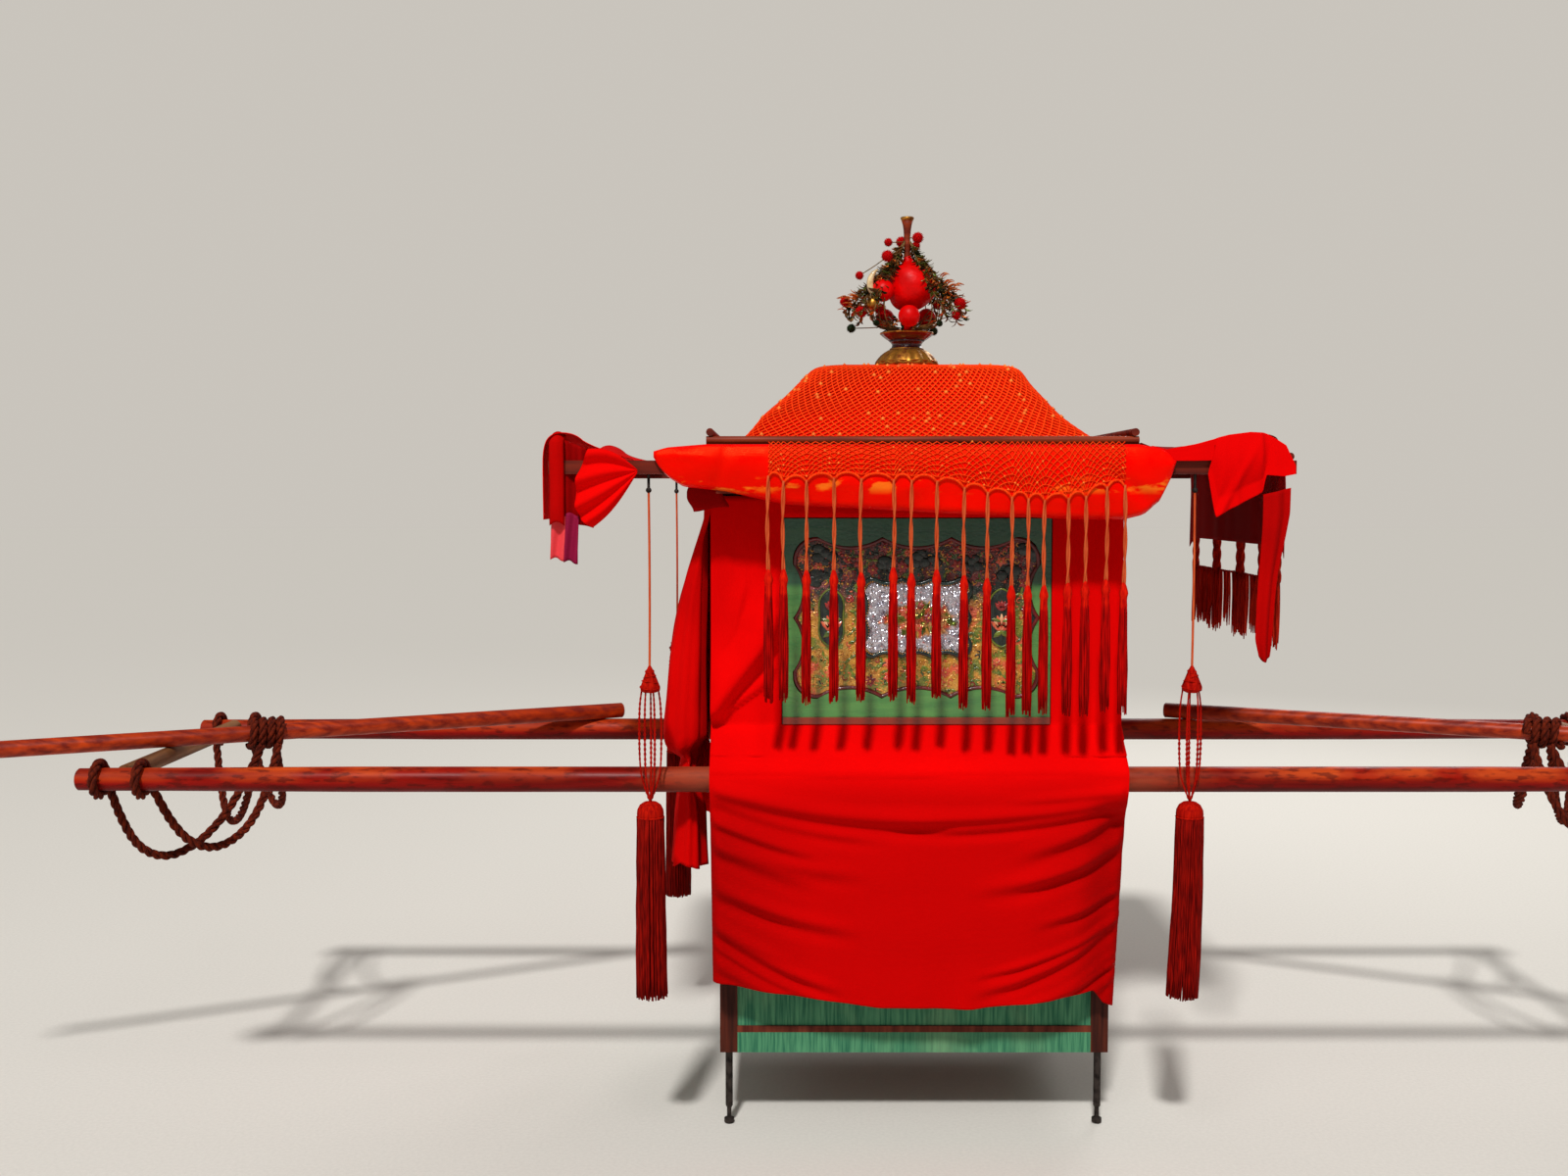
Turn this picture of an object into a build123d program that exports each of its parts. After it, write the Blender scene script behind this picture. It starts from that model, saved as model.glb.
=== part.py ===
# A bridal sedan chair carried by four: a curtained wooden cabin under a hipped roof, slung between
# two long shafts, with a crossbar, a rope sling and a lowered shoulder pole at each end.
# Millimetres. +X is the front, -Y the near side, +Z up, and the origin is on the floor under the middle.
import os
from math import cos, hypot, radians, sin, tan

from build123d import *

# Cabin frame
CABIN_LENGTH = 850
CABIN_WIDTH = 590
POST = 38
FLOOR_Z = 165
RAIL_HEIGHT = 45
FLOOR_THICKNESS = 14
WAIST_Z = 892
WAIST_HEIGHT = 42
TOP_RAIL_Z = 1388
TOP_RAIL_HEIGHT = 40
BOARD = 12
BOARD_INSET = 4
STEP_HEIGHT = 90
FOOT_RADIUS = 8
FOOT_NECK_RADIUS = 5
FOOT_NECK_LENGTH = 20
FOOT_PAD_RADIUS = 11
FOOT_PAD_HEIGHT = 14
EDGE = 3

# Seat
SEAT_Z = 600
SEAT_THICKNESS = 18
SEAT_DEPTH = 365
CUSHION_THICKNESS = 50
CUSHION_GAP = 7

# Windows
WINDOW_WIDTH = 576
WINDOW_HEIGHT = 428
WINDOW_SILL = 15
WINDOW_FRAME_THICKNESS = 14
WINDOW_LIP = 18
WINDOW_STILE = 22
WINDOW_BAR = 39.5
SILL_PROJECTION = 4
PANEL_THICKNESS = 6
CUSP_DEPTH = 20
CARTOUCHE_CUSP_DEPTH = 9
MOULDING_WIDTH = 9
MOULDING_HEIGHT = 5
CARTOUCHE_WIDTH = 223
CARTOUCHE_HEIGHT = 157
MEDALLION_WIDTH = 58
MEDALLION_HEIGHT = 125
MEDALLION_INSET = 83

# Eaves and roof
BEAM_LENGTH = 1540
BEAM_SECTION = 28
BEAM_SPREAD = 820
END_ROD_INSET = 15
ROD_RADIUS = 8
TRAY_LENGTH = 890
TRAY_THICKNESS = 12
TRAY_HEIGHT = 34
TRAY_RIM = 20
EAVE_ROD_SPREAD = 840
ROOF_THICKNESS = 10
VALANCE_DEPTH = 156
NET_THICKNESS = 3

# Shafts and their crossbars
SHAFT_LENGTH = 3580
SHAFT_SPREAD = 700
SHAFT_Z = 780
SHAFT_RADIUS = 27
SHAFT_END_RADIUS = 24.5
SHAFT_STRAIGHT = 1200
SHAFT_END_LENGTH = 150
SHAFT_TIP_RADIUS = 23.5
SHAFT_TIP_LENGTH = 32
BRACKET_X = 330
BRACKET_LENGTH = 60
BRACKET_WALL = 9
FIT = 0.4
CROSSBAR_RADIUS = 19
CROSSBAR_INSET = 90

# Shoulder poles, lowered onto a crossbar and the far shaft
POLE_LENGTH = 1760
POLE_RADIUS = 19
POLE_GRIP_RADIUS = 17
POLE_GRIP_LENGTH = 150
POLE_REST_X = 750
POLE_PAST_SHAFT = 50
POLE_CROSS_Y = -100

# Ropes
ROPE = 20
LASHING_SPACING = 45
POLE_LASHING_LENGTH = 80

# Hanging tassels
STRING = 5
HOOK_RADIUS = 3
HOOK_LENGTH = 30
LONG_TASSEL_X = 565
LONG_TASSEL_TOP = 1030
LONG_TASSEL_BOTTOM = 325
LONG_TASSEL_RADIUS = 28
LONG_TASSEL_CAP_DROP = 4
TASSEL_PITCH = 45.5
TASSEL_COUNT = 17
TASSEL_MIDDLE = 47
TASSEL_TOP = 1385
TASSEL_HEAD = 1213
TASSEL_BOTTOM = 940
TASSEL_RADIUS = 8.5
TASSEL_CORD_RADIUS = 2
TASSEL_SEWN = 4
FRINGE_DROP = 95
FRINGE_OVERLAP = 60
FRONT_TASSEL_COUNT = 13
FRONT_TASSEL_PITCH = 60
FRONT_TASSEL_BOTTOM = 1050
FRONT_CORD_LENGTH = 40

# Cloth
CLOTH = 5
CLOTH_GAP = 3
COVER_OVERHANG = 17
SKIRT_HEM = 300
SKIRT_SHOULDER = 802
SHOULDER_FOLD = 12
REAR_CURTAIN_WIDTH = 580
REAR_BELLY = 92
REAR_BELLY_RISE = 90
REAR_TIE_RISE = 20
REAR_TAIL = 225
DOOR_WIDTH = 500
DOOR_ROD_OVERHANG = 20
DOOR_HEM = 345
HEM_BAR_RADIUS = 9
HEM_BAR_CLEARANCE = 6
AWNING_WIDTH = 850
AWNING_DROP = 225
REAR_CLOTH_DROP = 126
REAR_CLOTH_RUN = 150
CLOTH_TURN = 22

# Finial
FINIAL_BASE_RADIUS = 75
FINIAL_BASE_HEIGHT = 112
FINIAL_STEM = 24
FINIAL_BALL_RADIUS = 50
FINIAL_TIP = 26
FINIAL_SPIRE = 98
FINIAL_MOUTH_RADIUS = 16
FINIAL_SMALL_RADIUS = 23
SPRAY_REACH = 148
SPRAY_RING_RADIUS = 24
POMPOM_RADIUS = 14
WIRE_RADIUS = 2.5

# Levels and faces that follow from these
HALF_L = CABIN_LENGTH / 2
HALF_W = CABIN_WIDTH / 2
BAY_L = HALF_L - POST
BAY_W = HALF_W - POST
FLOOR_TOP = FLOOR_Z + RAIL_HEIGHT + FLOOR_THICKNESS
TOP_Z = TOP_RAIL_Z + TOP_RAIL_HEIGHT
BEAM_TOP = TOP_Z + BEAM_SECTION
BEAM_Y = BEAM_SPREAD / 2
TRAY_W = BEAM_SPREAD / 2 + BEAM_SECTION / 2 + 6
TRAY_TOP = BEAM_TOP + TRAY_HEIGHT
ROOF_Z = BEAM_TOP + TRAY_THICKNESS
SHAFT_Y = SHAFT_SPREAD / 2
SHAFT_END = SHAFT_LENGTH / 2
BRACKET_RADIUS = SHAFT_RADIUS + FIT + BRACKET_WALL
CROSSBAR_X = SHAFT_END - CROSSBAR_INSET
CROSSBAR_Z = SHAFT_Z + SHAFT_RADIUS - CROSSBAR_RADIUS
POLE_Z = SHAFT_Z + SHAFT_RADIUS + POLE_RADIUS + FIT
WINDOW_Z = WAIST_Z + WINDOW_SILL + WINDOW_HEIGHT / 2
PANEL_WIDTH = WINDOW_WIDTH - 2 * WINDOW_STILE
PANEL_HEIGHT = WINDOW_HEIGHT - 2 * WINDOW_BAR

# A valance's outline: X as a share of the tray's half length, drop as a share of the valance's depth
VALANCE = [
    (-1.24, 0.05),
    (-1, 0),
    (1, 0),
    (1.16, 0.18),
    (1.13, 0.48),
    (0.95, 0.99),
    (0.72, 1),
    (-0.64, 0.8),
    (-0.91, 0.61),
    (-1.14, 0.44),
]
# The finial's base: radius and height as shares of its largest radius and its height
FINIAL_BASE = [
    (0, 0),
    (0.97, 0),
    (1, 0.11),
    (0.88, 0.3),
    (0.67, 0.46),
    (0.48, 0.55),
    (0.45, 0.66),
    (0.56, 0.77),
    (0.77, 0.89),
    (0.83, 0.96),
    (0.75, 1),
    (0.24, 0.95),
    (0, 0.95),
]
# The finial's spire: radius as a share of its mouth's, height as a share of its own
FINIAL_SPIRE_PROFILE = [
    (0, 0),
    (0.38, 0),
    (0.31, 0.31),
    (0.44, 0.37),
    (0.31, 0.43),
    (0.31, 0.78),
    (0.56, 0.88),
    (1, 0.98),
    (0.88, 1),
    (0, 0.94),
]
# Rings of balls on wires: first turn in degrees, count, reach and height as shares of the spray's
# reach, ball radius
SPRAY_RINGS = [
    (0, 6, 1, 0.3, POMPOM_RADIUS - 2),
    (30, 6, 0.74, 0.15, POMPOM_RADIUS - 2),
    (15, 6, 0.76, 0.71, POMPOM_RADIUS),
    (45, 4, 0.36, 1.01, POMPOM_RADIUS),
    (0, 2, 0.19, 1.27, POMPOM_RADIUS - 2),
    (60, 3, 0.54, 0.38, FINIAL_SMALL_RADIUS),
]
# Roof sections: height above the tray board, half length, half width
ROOF_SECTIONS = [
    (0, 405, 385),
    (52, 352, 330),
    (120, 276, 254),
    (200, 204, 182),
]
# Places of the four corners: X side, Y side
CORNERS = [(x, y) for x in (-1, 1) for y in (-1, 1)]


def block(x, y, z):
    """A box between limits, each a (low, high) pair."""
    size = [high - low for low, high in (x, y, z)]
    middle = [(high + low) / 2 for low, high in (x, y, z)]
    return Pos(*middle) * Box(*size)


def both_sides(solid):
    """The solid and its mirror image across the cabin's length."""
    return [solid, mirror(solid, Plane.XZ)]


def turned(profile):
    """A solid of revolution about the Z axis, from (radius, z) points."""
    face = make_face(Polyline(*[(r, 0, z) for r, z in profile], close=True))
    return revolve(face, Axis.Z)


def band(points, thickness):
    """The outline of a strip that follows points, on their left side, with mitred corners."""
    normals = []
    for (x0, z0), (x1, z1) in zip(points, points[1:]):
        run = hypot(x1 - x0, z1 - z0)
        normals.append(((z0 - z1) / run, (x1 - x0) / run))
    offset_points = []
    for k, (x, z) in enumerate(points):
        a = normals[max(k - 1, 0)]
        b = normals[min(k, len(normals) - 1)]
        share = thickness / (1 + a[0] * b[0] + a[1] * b[1])
        offset_points.append((x + (a[0] + b[0]) * share, z + (a[1] + b[1]) * share))
    return [*points, *reversed(offset_points)]


def along_x(outline, low, high):
    """A prism of a (y, z) outline, from low to high along X."""
    face = make_face(Polyline(*[(low, y, z) for y, z in outline], close=True))
    return extrude(face, high - low, dir=(1, 0, 0))


def along_y(outline, low, high):
    """A prism of an (x, z) outline, from low to high along Y."""
    face = make_face(Polyline(*[(x, low, z) for x, z in outline], close=True))
    return extrude(face, high - low, dir=(0, 1, 0))


def tube(points, diameter, name):
    """A rope along points, its corners rounded as far as its runs allow."""
    at = [Vector(*p) for p in points]
    runs = [(b - a).length for a, b in zip(at, at[1:])]
    radii = []
    for k in range(1, len(at) - 1):
        turn = (at[k] - at[k - 1]).get_angle(at[k + 1] - at[k])
        radii.append(0.45 * min(runs[k - 1], runs[k]) / tan(radians(turn) / 2))
    path = FilletPolyline(*at, radius=radii)
    section = Plane(origin=path @ 0, z_dir=path % 0) * Circle(diameter / 2)
    solid = sweep(section, path=path)
    print(f"{name}: length {path.length:.0f}, radii {[round(r) for r in radii]}")
    return solid


# Cabin frame
def corner_posts():
    return [
        block(
            sorted((sx * BAY_L, sx * HALF_L)), sorted((sy * BAY_W, sy * HALF_W)), (FLOOR_Z, TOP_RAIL_Z)
        )
        for sx, sy in CORNERS
    ]


def iron_feet():
    profile = [
        (0, 0),
        (FOOT_PAD_RADIUS - EDGE, 0),
        (FOOT_PAD_RADIUS, EDGE),
        (FOOT_PAD_RADIUS, FOOT_PAD_HEIGHT - EDGE),
        (FOOT_NECK_RADIUS, FOOT_PAD_HEIGHT),
        (FOOT_NECK_RADIUS, FOOT_PAD_HEIGHT + FOOT_NECK_LENGTH),
        (FOOT_RADIUS, FOOT_PAD_HEIGHT + FOOT_NECK_LENGTH + 2 * EDGE),
        (FOOT_RADIUS, FLOOR_Z),
        (0, FLOOR_Z),
    ]
    foot = turned(profile)
    at_x, at_y = HALF_L - POST / 2, HALF_W - POST / 2
    return [Pos(sx * at_x, sy * at_y, 0) * foot for sx, sy in CORNERS]


def floor_rails():
    z = (FLOOR_Z, FLOOR_Z + RAIL_HEIGHT)
    sides = both_sides(block((-BAY_L, BAY_L), (-HALF_W, -BAY_W), z))
    ends = [block(sorted((s * BAY_L, s * HALF_L)), (-BAY_W, BAY_W), z) for s in (-1, 1)]
    return sides + ends


def floor_board():
    z = (FLOOR_TOP - FLOOR_THICKNESS, FLOOR_TOP)
    board = block((-HALF_L, HALF_L), (-HALF_W, HALF_W), z)
    notches = [
        block(sorted((sx * BAY_L, sx * HALF_L)), sorted((sy * BAY_W, sy * HALF_W)), z) for sx, sy in CORNERS
    ]
    return [board - notches]


def waist_rails():
    z = (WAIST_Z - WAIST_HEIGHT, WAIST_Z)
    sides = both_sides(block((-BAY_L, BAY_L), (-HALF_W, -BAY_W), z))
    return [*sides, block((-HALF_L, -BAY_L), (-BAY_W, BAY_W), z)]


def top_side_rails():
    return both_sides(block((-BAY_L, BAY_L), (-HALF_W, -BAY_W), (TOP_RAIL_Z, TOP_Z)))


def top_cross_rails():
    reach = BEAM_Y + BEAM_SECTION / 2
    return [
        block(sorted((s * BAY_L, s * HALF_L)), (-reach, reach), (TOP_RAIL_Z, TOP_Z)) for s in (-1, 1)
    ]


def side_board(z):
    """A board between the near posts, set in from their outer faces."""
    outer = -HALF_W + BOARD_INSET
    return block((-BAY_L, BAY_L), (outer, outer + BOARD), z)


def end_board(side, z):
    """A board between the rear (-1) or front (1) posts."""
    outer = side * (HALF_L - BOARD_INSET)
    return block(sorted((outer, outer - side * BOARD)), (-BAY_W, BAY_W), z)


def scooped(width, height, depth, y):
    """A block of a bracket outline: rounded corners, and shallow scoops that meet in outward cusps."""
    half_w, half_h = width / 2, height / 2
    plate = Rectangle(width, height)
    plate = fillet(plate.vertices(), height * 0.14)
    # Scoops along an edge: where the chord starts and ends, as shares of the edge's half length
    for start, end in ((-0.8, -0.28), (-0.28, 0.28), (0.28, 0.8)):
        chord = (end - start) * half_w
        radius = (chord * chord / 4 + depth * depth) / (2 * depth)
        x = (start + end) / 2 * half_w
        for side in (-1, 1):
            plate -= Pos(x, side * (half_h + radius - depth)) * Circle(radius)
    for start, end in ((-0.66, 0), (0, 0.66)):
        chord = (end - start) * half_h
        radius = (chord * chord / 4 + depth * depth) / (2 * depth)
        z = (start + end) / 2 * half_h
        for side in (-1, 1):
            plate -= Pos(side * (half_w + radius - depth), z) * Circle(radius)
    place = Plane(origin=(0, y[0], WINDOW_Z), x_dir=(1, 0, 0), z_dir=(0, -1, 0))
    return extrude(place * plate, y[1] - y[0], dir=(0, 1, 0))


def near_upper_wall():
    wall = side_board((WAIST_Z, TOP_RAIL_Z))
    width, height = WINDOW_WIDTH - 2 * WINDOW_LIP, WINDOW_HEIGHT - 2 * WINDOW_LIP
    cut = block(
        (-width / 2, width / 2), (-HALF_W, -BAY_W), (WINDOW_Z - height / 2, WINDOW_Z + height / 2)
    )
    return wall - cut


def near_window_frame():
    """A board over the wall's opening, with a shaped opening of its own and a projecting sill."""
    back = -HALF_W + BOARD_INSET
    y = (back - WINDOW_FRAME_THICKNESS, back)
    board = block(
        (-WINDOW_WIDTH / 2, WINDOW_WIDTH / 2),
        y,
        (WINDOW_Z - WINDOW_HEIGHT / 2, WINDOW_Z + WINDOW_HEIGHT / 2),
    )
    sill = block(
        (-WINDOW_WIDTH / 2, WINDOW_WIDTH / 2),
        (y[0] - SILL_PROJECTION, back),
        (WAIST_Z, WAIST_Z + WINDOW_SILL),
    )
    return board + sill - scooped(PANEL_WIDTH, PANEL_HEIGHT, CUSP_DEPTH, y)


def near_window_panel():
    """The painted panel behind the frame, with its raised moulding, cartouche and medallions."""
    back = -HALF_W + BOARD_INSET
    y = (back - PANEL_THICKNESS, back)
    panel = scooped(PANEL_WIDTH, PANEL_HEIGHT, CUSP_DEPTH, y)
    raised = (y[0] - MOULDING_HEIGHT, y[0])
    inner_width, inner_height = PANEL_WIDTH - 2 * MOULDING_WIDTH, PANEL_HEIGHT - 2 * MOULDING_WIDTH
    panel += scooped(PANEL_WIDTH, PANEL_HEIGHT, CUSP_DEPTH, raised) - scooped(
        inner_width, inner_height, CUSP_DEPTH, raised
    )
    panel += scooped(CARTOUCHE_WIDTH, CARTOUCHE_HEIGHT, CARTOUCHE_CUSP_DEPTH, raised)
    medallion_x = PANEL_WIDTH / 2 - MEDALLION_INSET
    z = (WINDOW_Z - MEDALLION_HEIGHT / 2, WINDOW_Z + MEDALLION_HEIGHT / 2)
    for middle in (-medallion_x, medallion_x):
        relief = block((middle - MEDALLION_WIDTH / 2, middle + MEDALLION_WIDTH / 2), raised, z)
        panel += fillet(relief.edges().filter_by(Axis.Y), MEDALLION_WIDTH * 0.3)
    return panel


# Seat
def seat_box():
    back = -HALF_L + BOARD_INSET + BOARD
    board = block((back, back + SEAT_DEPTH), (-BAY_W, BAY_W), (SEAT_Z, SEAT_Z + SEAT_THICKNESS))
    front = block(
        (back + SEAT_DEPTH - SEAT_THICKNESS, back + SEAT_DEPTH), (-BAY_W, BAY_W), (FLOOR_TOP, SEAT_Z)
    )
    return [board + front]


def seat_cushion():
    back = -HALF_L + BOARD_INSET + BOARD + CUSHION_GAP
    low = SEAT_Z + SEAT_THICKNESS
    pad = block(
        (back, back + SEAT_DEPTH - 2 * CUSHION_GAP),
        (-BAY_W + CUSHION_GAP, BAY_W - CUSHION_GAP),
        (low, low + CUSHION_THICKNESS),
    )
    return [fillet(pad.edges().filter_by(Axis.Z), CUSHION_THICKNESS * 0.4)]


# Eaves and roof
def eave_beams():
    half = BEAM_SECTION / 2
    return both_sides(
        block((-BEAM_LENGTH / 2, BEAM_LENGTH / 2), (-BEAM_Y - half, -BEAM_Y + half), (TOP_Z, BEAM_TOP))
    )


def rod_along_y(x, z, half, radius):
    return Pos(x, 0, z) * Rot(90, 0, 0) * Cylinder(radius, 2 * half)


def end_rods():
    x = BEAM_LENGTH / 2 - END_ROD_INSET
    return [rod_along_y(s * x, BEAM_TOP + ROD_RADIUS, TRAY_W, ROD_RADIUS) for s in (-1, 1)]


def eave_tray():
    """The board that closes the cabin, with a rim round it for the rods."""
    half = TRAY_LENGTH / 2
    tray = block((-half, half), (-TRAY_W, TRAY_W), (BEAM_TOP, TRAY_TOP))
    inner_x, inner_y = half - TRAY_RIM, TRAY_W - TRAY_RIM
    return [tray - block((-inner_x, inner_x), (-inner_y, inner_y), (ROOF_Z, TRAY_TOP))]


def eave_side_rods():
    y = EAVE_ROD_SPREAD / 2
    rod = Pos(0, -y, TRAY_TOP + ROD_RADIUS) * Rot(0, 90, 0) * Cylinder(ROD_RADIUS, TRAY_LENGTH)
    return both_sides(rod)


def eave_cross_rods():
    x = TRAY_LENGTH / 2 - ROD_RADIUS
    z = TRAY_TOP + 3 * ROD_RADIUS
    return [rod_along_y(s * x, z, EAVE_ROD_SPREAD / 2 + ROD_RADIUS, ROD_RADIUS) for s in (-1, 1)]


def hip(grow, rise):
    """The roof's outer form, grown sideways and raised."""
    faces = [
        Pos(0, 0, ROOF_Z + z + (rise if z else 0)) * Rectangle(2 * (x + grow), 2 * (y + grow))
        for z, x, y in ROOF_SECTIONS
    ]
    return loft(faces, ruled=True)


def roof_shell():
    return [hip(0, 0) - hip(-ROOF_THICKNESS, -ROOF_THICKNESS)]


def roof_net():
    grow = FIT + NET_THICKNESS
    return [hip(grow, grow) - hip(FIT, FIT)]


# Finial
def finial_base():
    """A dome, a neck and a flared cup."""
    low = ROOF_Z + ROOF_SECTIONS[-1][0] + FIT + NET_THICKNESS
    profile = [(r * FINIAL_BASE_RADIUS, z * FINIAL_BASE_HEIGHT) for r, z in FINIAL_BASE]
    return [Pos(0, 0, low) * turned(profile)]


def finial_low():
    """The level of the cup's floor."""
    cup = FINIAL_BASE[-1][1] * FINIAL_BASE_HEIGHT
    return ROOF_Z + ROOF_SECTIONS[-1][0] + FIT + NET_THICKNESS + cup


def finial_ball():
    """A peach-shaped ball with a pointed tip, standing on the cup on a short stem."""
    low = finial_low()
    r = FINIAL_BALL_RADIUS
    middle, tip = FINIAL_STEM + r, FINIAL_STEM + 2 * r + FINIAL_TIP
    profile = [(0, 0), (r * 0.24, 0), (r * 0.2, FINIAL_STEM * 0.67), (r * 0.32, FINIAL_STEM * 1.08)]
    for step in range(2, 15):
        turn = radians(180 - 11 * step)
        profile.append((r * sin(turn), middle + r * cos(turn)))
    profile += [(r * 0.18, tip - FINIAL_TIP * 0.46), (r * 0.12, tip), (0, tip)]
    return [Pos(0, 0, low) * turned(profile)]


def finial_spire():
    """The stem above the ball, ending in a flared gold mouth."""
    low = finial_low() + FINIAL_STEM + 2 * FINIAL_BALL_RADIUS + FINIAL_TIP
    profile = [(r * FINIAL_MOUTH_RADIUS, z * FINIAL_SPIRE) for r, z in FINIAL_SPIRE_PROFILE]
    return [Pos(0, 0, low) * turned(profile)]


def finial_spray():
    """Bent wires round the ball with pompoms and small balls on them, joined by a ring on the stem."""
    ring_height = FINIAL_STEM / 4
    low = finial_low() + FINIAL_STEM / 3
    clear = FINIAL_BALL_RADIUS + FINIAL_SMALL_RADIUS + POMPOM_RADIUS
    pieces = []
    for first, count, reach_share, height_share, radius in SPRAY_RINGS:
        reach, height = reach_share * SPRAY_REACH, height_share * SPRAY_REACH
        bow = max(reach * 0.95, clear)
        for k in range(count):
            turn = radians(first + 360 * k / count)
            c, s = cos(turn), sin(turn)
            root = Vector(SPRAY_RING_RADIUS * 0.83 * c, SPRAY_RING_RADIUS * 0.83 * s, FINIAL_STEM / 3)
            knee = Vector(bow * c, bow * s, height * 0.45)
            tip = Vector(reach * c, reach * s, height)
            for a, b in ((root, knee), (knee, tip)):
                wire = Plane(origin=a, z_dir=b - a) * Pos(0, 0, (b - a).length / 2)
                pieces.append(wire * Cylinder(WIRE_RADIUS, (b - a).length))
            pieces.append(Pos(*knee) * Sphere(WIRE_RADIUS * 1.2))
            pieces.append(Pos(*tip) * Sphere(radius))
    ring = Cylinder(SPRAY_RING_RADIUS, ring_height) - Cylinder(FINIAL_BALL_RADIUS / 4, ring_height)
    return [Pos(0, 0, low) * (Pos(0, 0, FINIAL_STEM / 3) * ring + pieces)]


# Shafts, brackets, crossbars and poles
def near_shaft():
    """A round shaft, slimmer towards its ends, with a small step before each tip."""
    profile = [
        (0, -SHAFT_END),
        (SHAFT_TIP_RADIUS - EDGE, -SHAFT_END),
        (SHAFT_TIP_RADIUS, -SHAFT_END + EDGE),
        (SHAFT_TIP_RADIUS, -SHAFT_END + SHAFT_TIP_LENGTH),
        (SHAFT_END_RADIUS, -SHAFT_END + SHAFT_TIP_LENGTH + SHAFT_END_RADIUS - SHAFT_TIP_RADIUS),
        (SHAFT_END_RADIUS, -SHAFT_END + SHAFT_END_LENGTH),
        (SHAFT_RADIUS, -SHAFT_STRAIGHT),
    ]
    whole = profile + [(r, -z) for r, z in reversed(profile)]
    return Pos(0, -SHAFT_Y, SHAFT_Z) * Rot(0, 90, 0) * turned(whole)


def shaft_brackets():
    """Blocks on the waist rails, each holding a shaft in a ring."""
    outer = BRACKET_RADIUS
    brackets = []
    for sx, sy in CORNERS:
        x = (sx * BRACKET_X - BRACKET_LENGTH / 2, sx * BRACKET_X + BRACKET_LENGTH / 2)
        at = Pos(sx * BRACKET_X, sy * SHAFT_Y, SHAFT_Z) * Rot(0, 90, 0)
        face = HALF_W - BOARD_INSET
        arm = block(x, sorted((sy * face, sy * SHAFT_Y)), (SHAFT_Z - outer, SHAFT_Z + outer))
        ring = at * Cylinder(outer, BRACKET_LENGTH)
        brackets.append(arm + ring - at * Cylinder(SHAFT_RADIUS + FIT, BRACKET_LENGTH))
    return brackets


def crossbars():
    half = SHAFT_Y - SHAFT_END_RADIUS
    return [rod_along_y(s * CROSSBAR_X, CROSSBAR_Z, half, CROSSBAR_RADIUS) for s in (-1, 1)]


def pole_line(end):
    """The inner end and the outer end of a pole's axis."""
    run = Vector(CROSSBAR_X - POLE_REST_X, POLE_CROSS_Y - SHAFT_Y)
    step = run.normalized()
    inner = Vector(POLE_REST_X, SHAFT_Y) - step * POLE_PAST_SHAFT
    outer = inner + step * POLE_LENGTH
    return [Vector(end * p.X, p.Y, POLE_Z) for p in (inner, outer)]


def pole(end):
    """A round pole, slimmer at its outer end where it lies on a shoulder."""
    inner, outer = pole_line(end)
    half = POLE_LENGTH / 2
    profile = [
        (0, -half),
        (POLE_RADIUS - EDGE, -half),
        (POLE_RADIUS, -half + EDGE),
        (POLE_RADIUS, half - 1.2 * POLE_GRIP_LENGTH),
        (POLE_GRIP_RADIUS, half - POLE_GRIP_LENGTH),
        (POLE_GRIP_RADIUS, half - EDGE),
        (POLE_GRIP_RADIUS - EDGE, half),
        (0, half),
    ]
    place = Plane(origin=(inner + outer) / 2, x_dir=(0, 0, 1), z_dir=outer - inner)
    return place * turned(profile)


def shoulder_poles():
    return [pole(end) for end in (-1, 1)]


def pole_lashings():
    """Rope turns round the middle of each pole, as one sleeve."""
    sleeves = []
    for end in (-1, 1):
        inner, outer = pole_line(end)
        place = Plane(origin=(inner + outer) / 2, x_dir=(0, 0, 1), z_dir=outer - inner)
        sleeve = Cylinder(POLE_RADIUS + FIT + ROPE, POLE_LASHING_LENGTH)
        sleeves.append(place * (sleeve - Cylinder(POLE_RADIUS + FIT, POLE_LASHING_LENGTH)))
    return sleeves


def shaft_lashings():
    """A rope ring round each shaft's end on each side of the crossbar."""
    ring = Rot(0, 90, 0) * Torus(SHAFT_END_RADIUS + FIT + ROPE / 2, ROPE / 2)
    return [
        Pos(sx * CROSSBAR_X + offset, sy * SHAFT_Y, SHAFT_Z) * ring
        for sx, sy in CORNERS
        for offset in (-LASHING_SPACING, LASHING_SPACING)
    ]


# Slack slings at the rear, which the front ones mirror. Each hangs from the pole's lashing, passes
# under the crossbar and rises to a ring on a shaft. Each row is a rope: name, then its (x, y, z) points.
SLINGS = [
    ("near_inner", [
        (-1470, -26, 802), (-1478, -75, 704), (-1508, -150, 618),
        (-1560, -232, 594), (-1618, -292, 660), (-1655, -315, 775),
    ]),
    ("near_outer", [
        (-1503, -41, 802), (-1542, -88, 690), (-1606, -150, 598),
        (-1672, -222, 572), (-1722, -288, 645), (-1745, -315, 775),
    ]),
    ("far_inner", [
        (-1497, 30, 802), (-1502, 84, 706), (-1524, 160, 624),
        (-1570, 238, 600), (-1618, 292, 664), (-1655, 315, 775),
    ]),
    ("far_outer", [
        (-1530, 15, 802), (-1572, 72, 684), (-1626, 148, 586),
        (-1684, 226, 562), (-1726, 290, 640), (-1745, 315, 775),
    ]),
]


def slings():
    """Every sling rope by its name."""
    ropes = {}
    for end, word in ((-1, "rear"), (1, "front")):
        for name, points in SLINGS:
            route = [(-end * x, y, z) for x, y, z in points]
            ropes[f"{word}_sling_{name}"] = [tube(route, ROPE, f"{word}_sling_{name}")]
    return ropes


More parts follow.
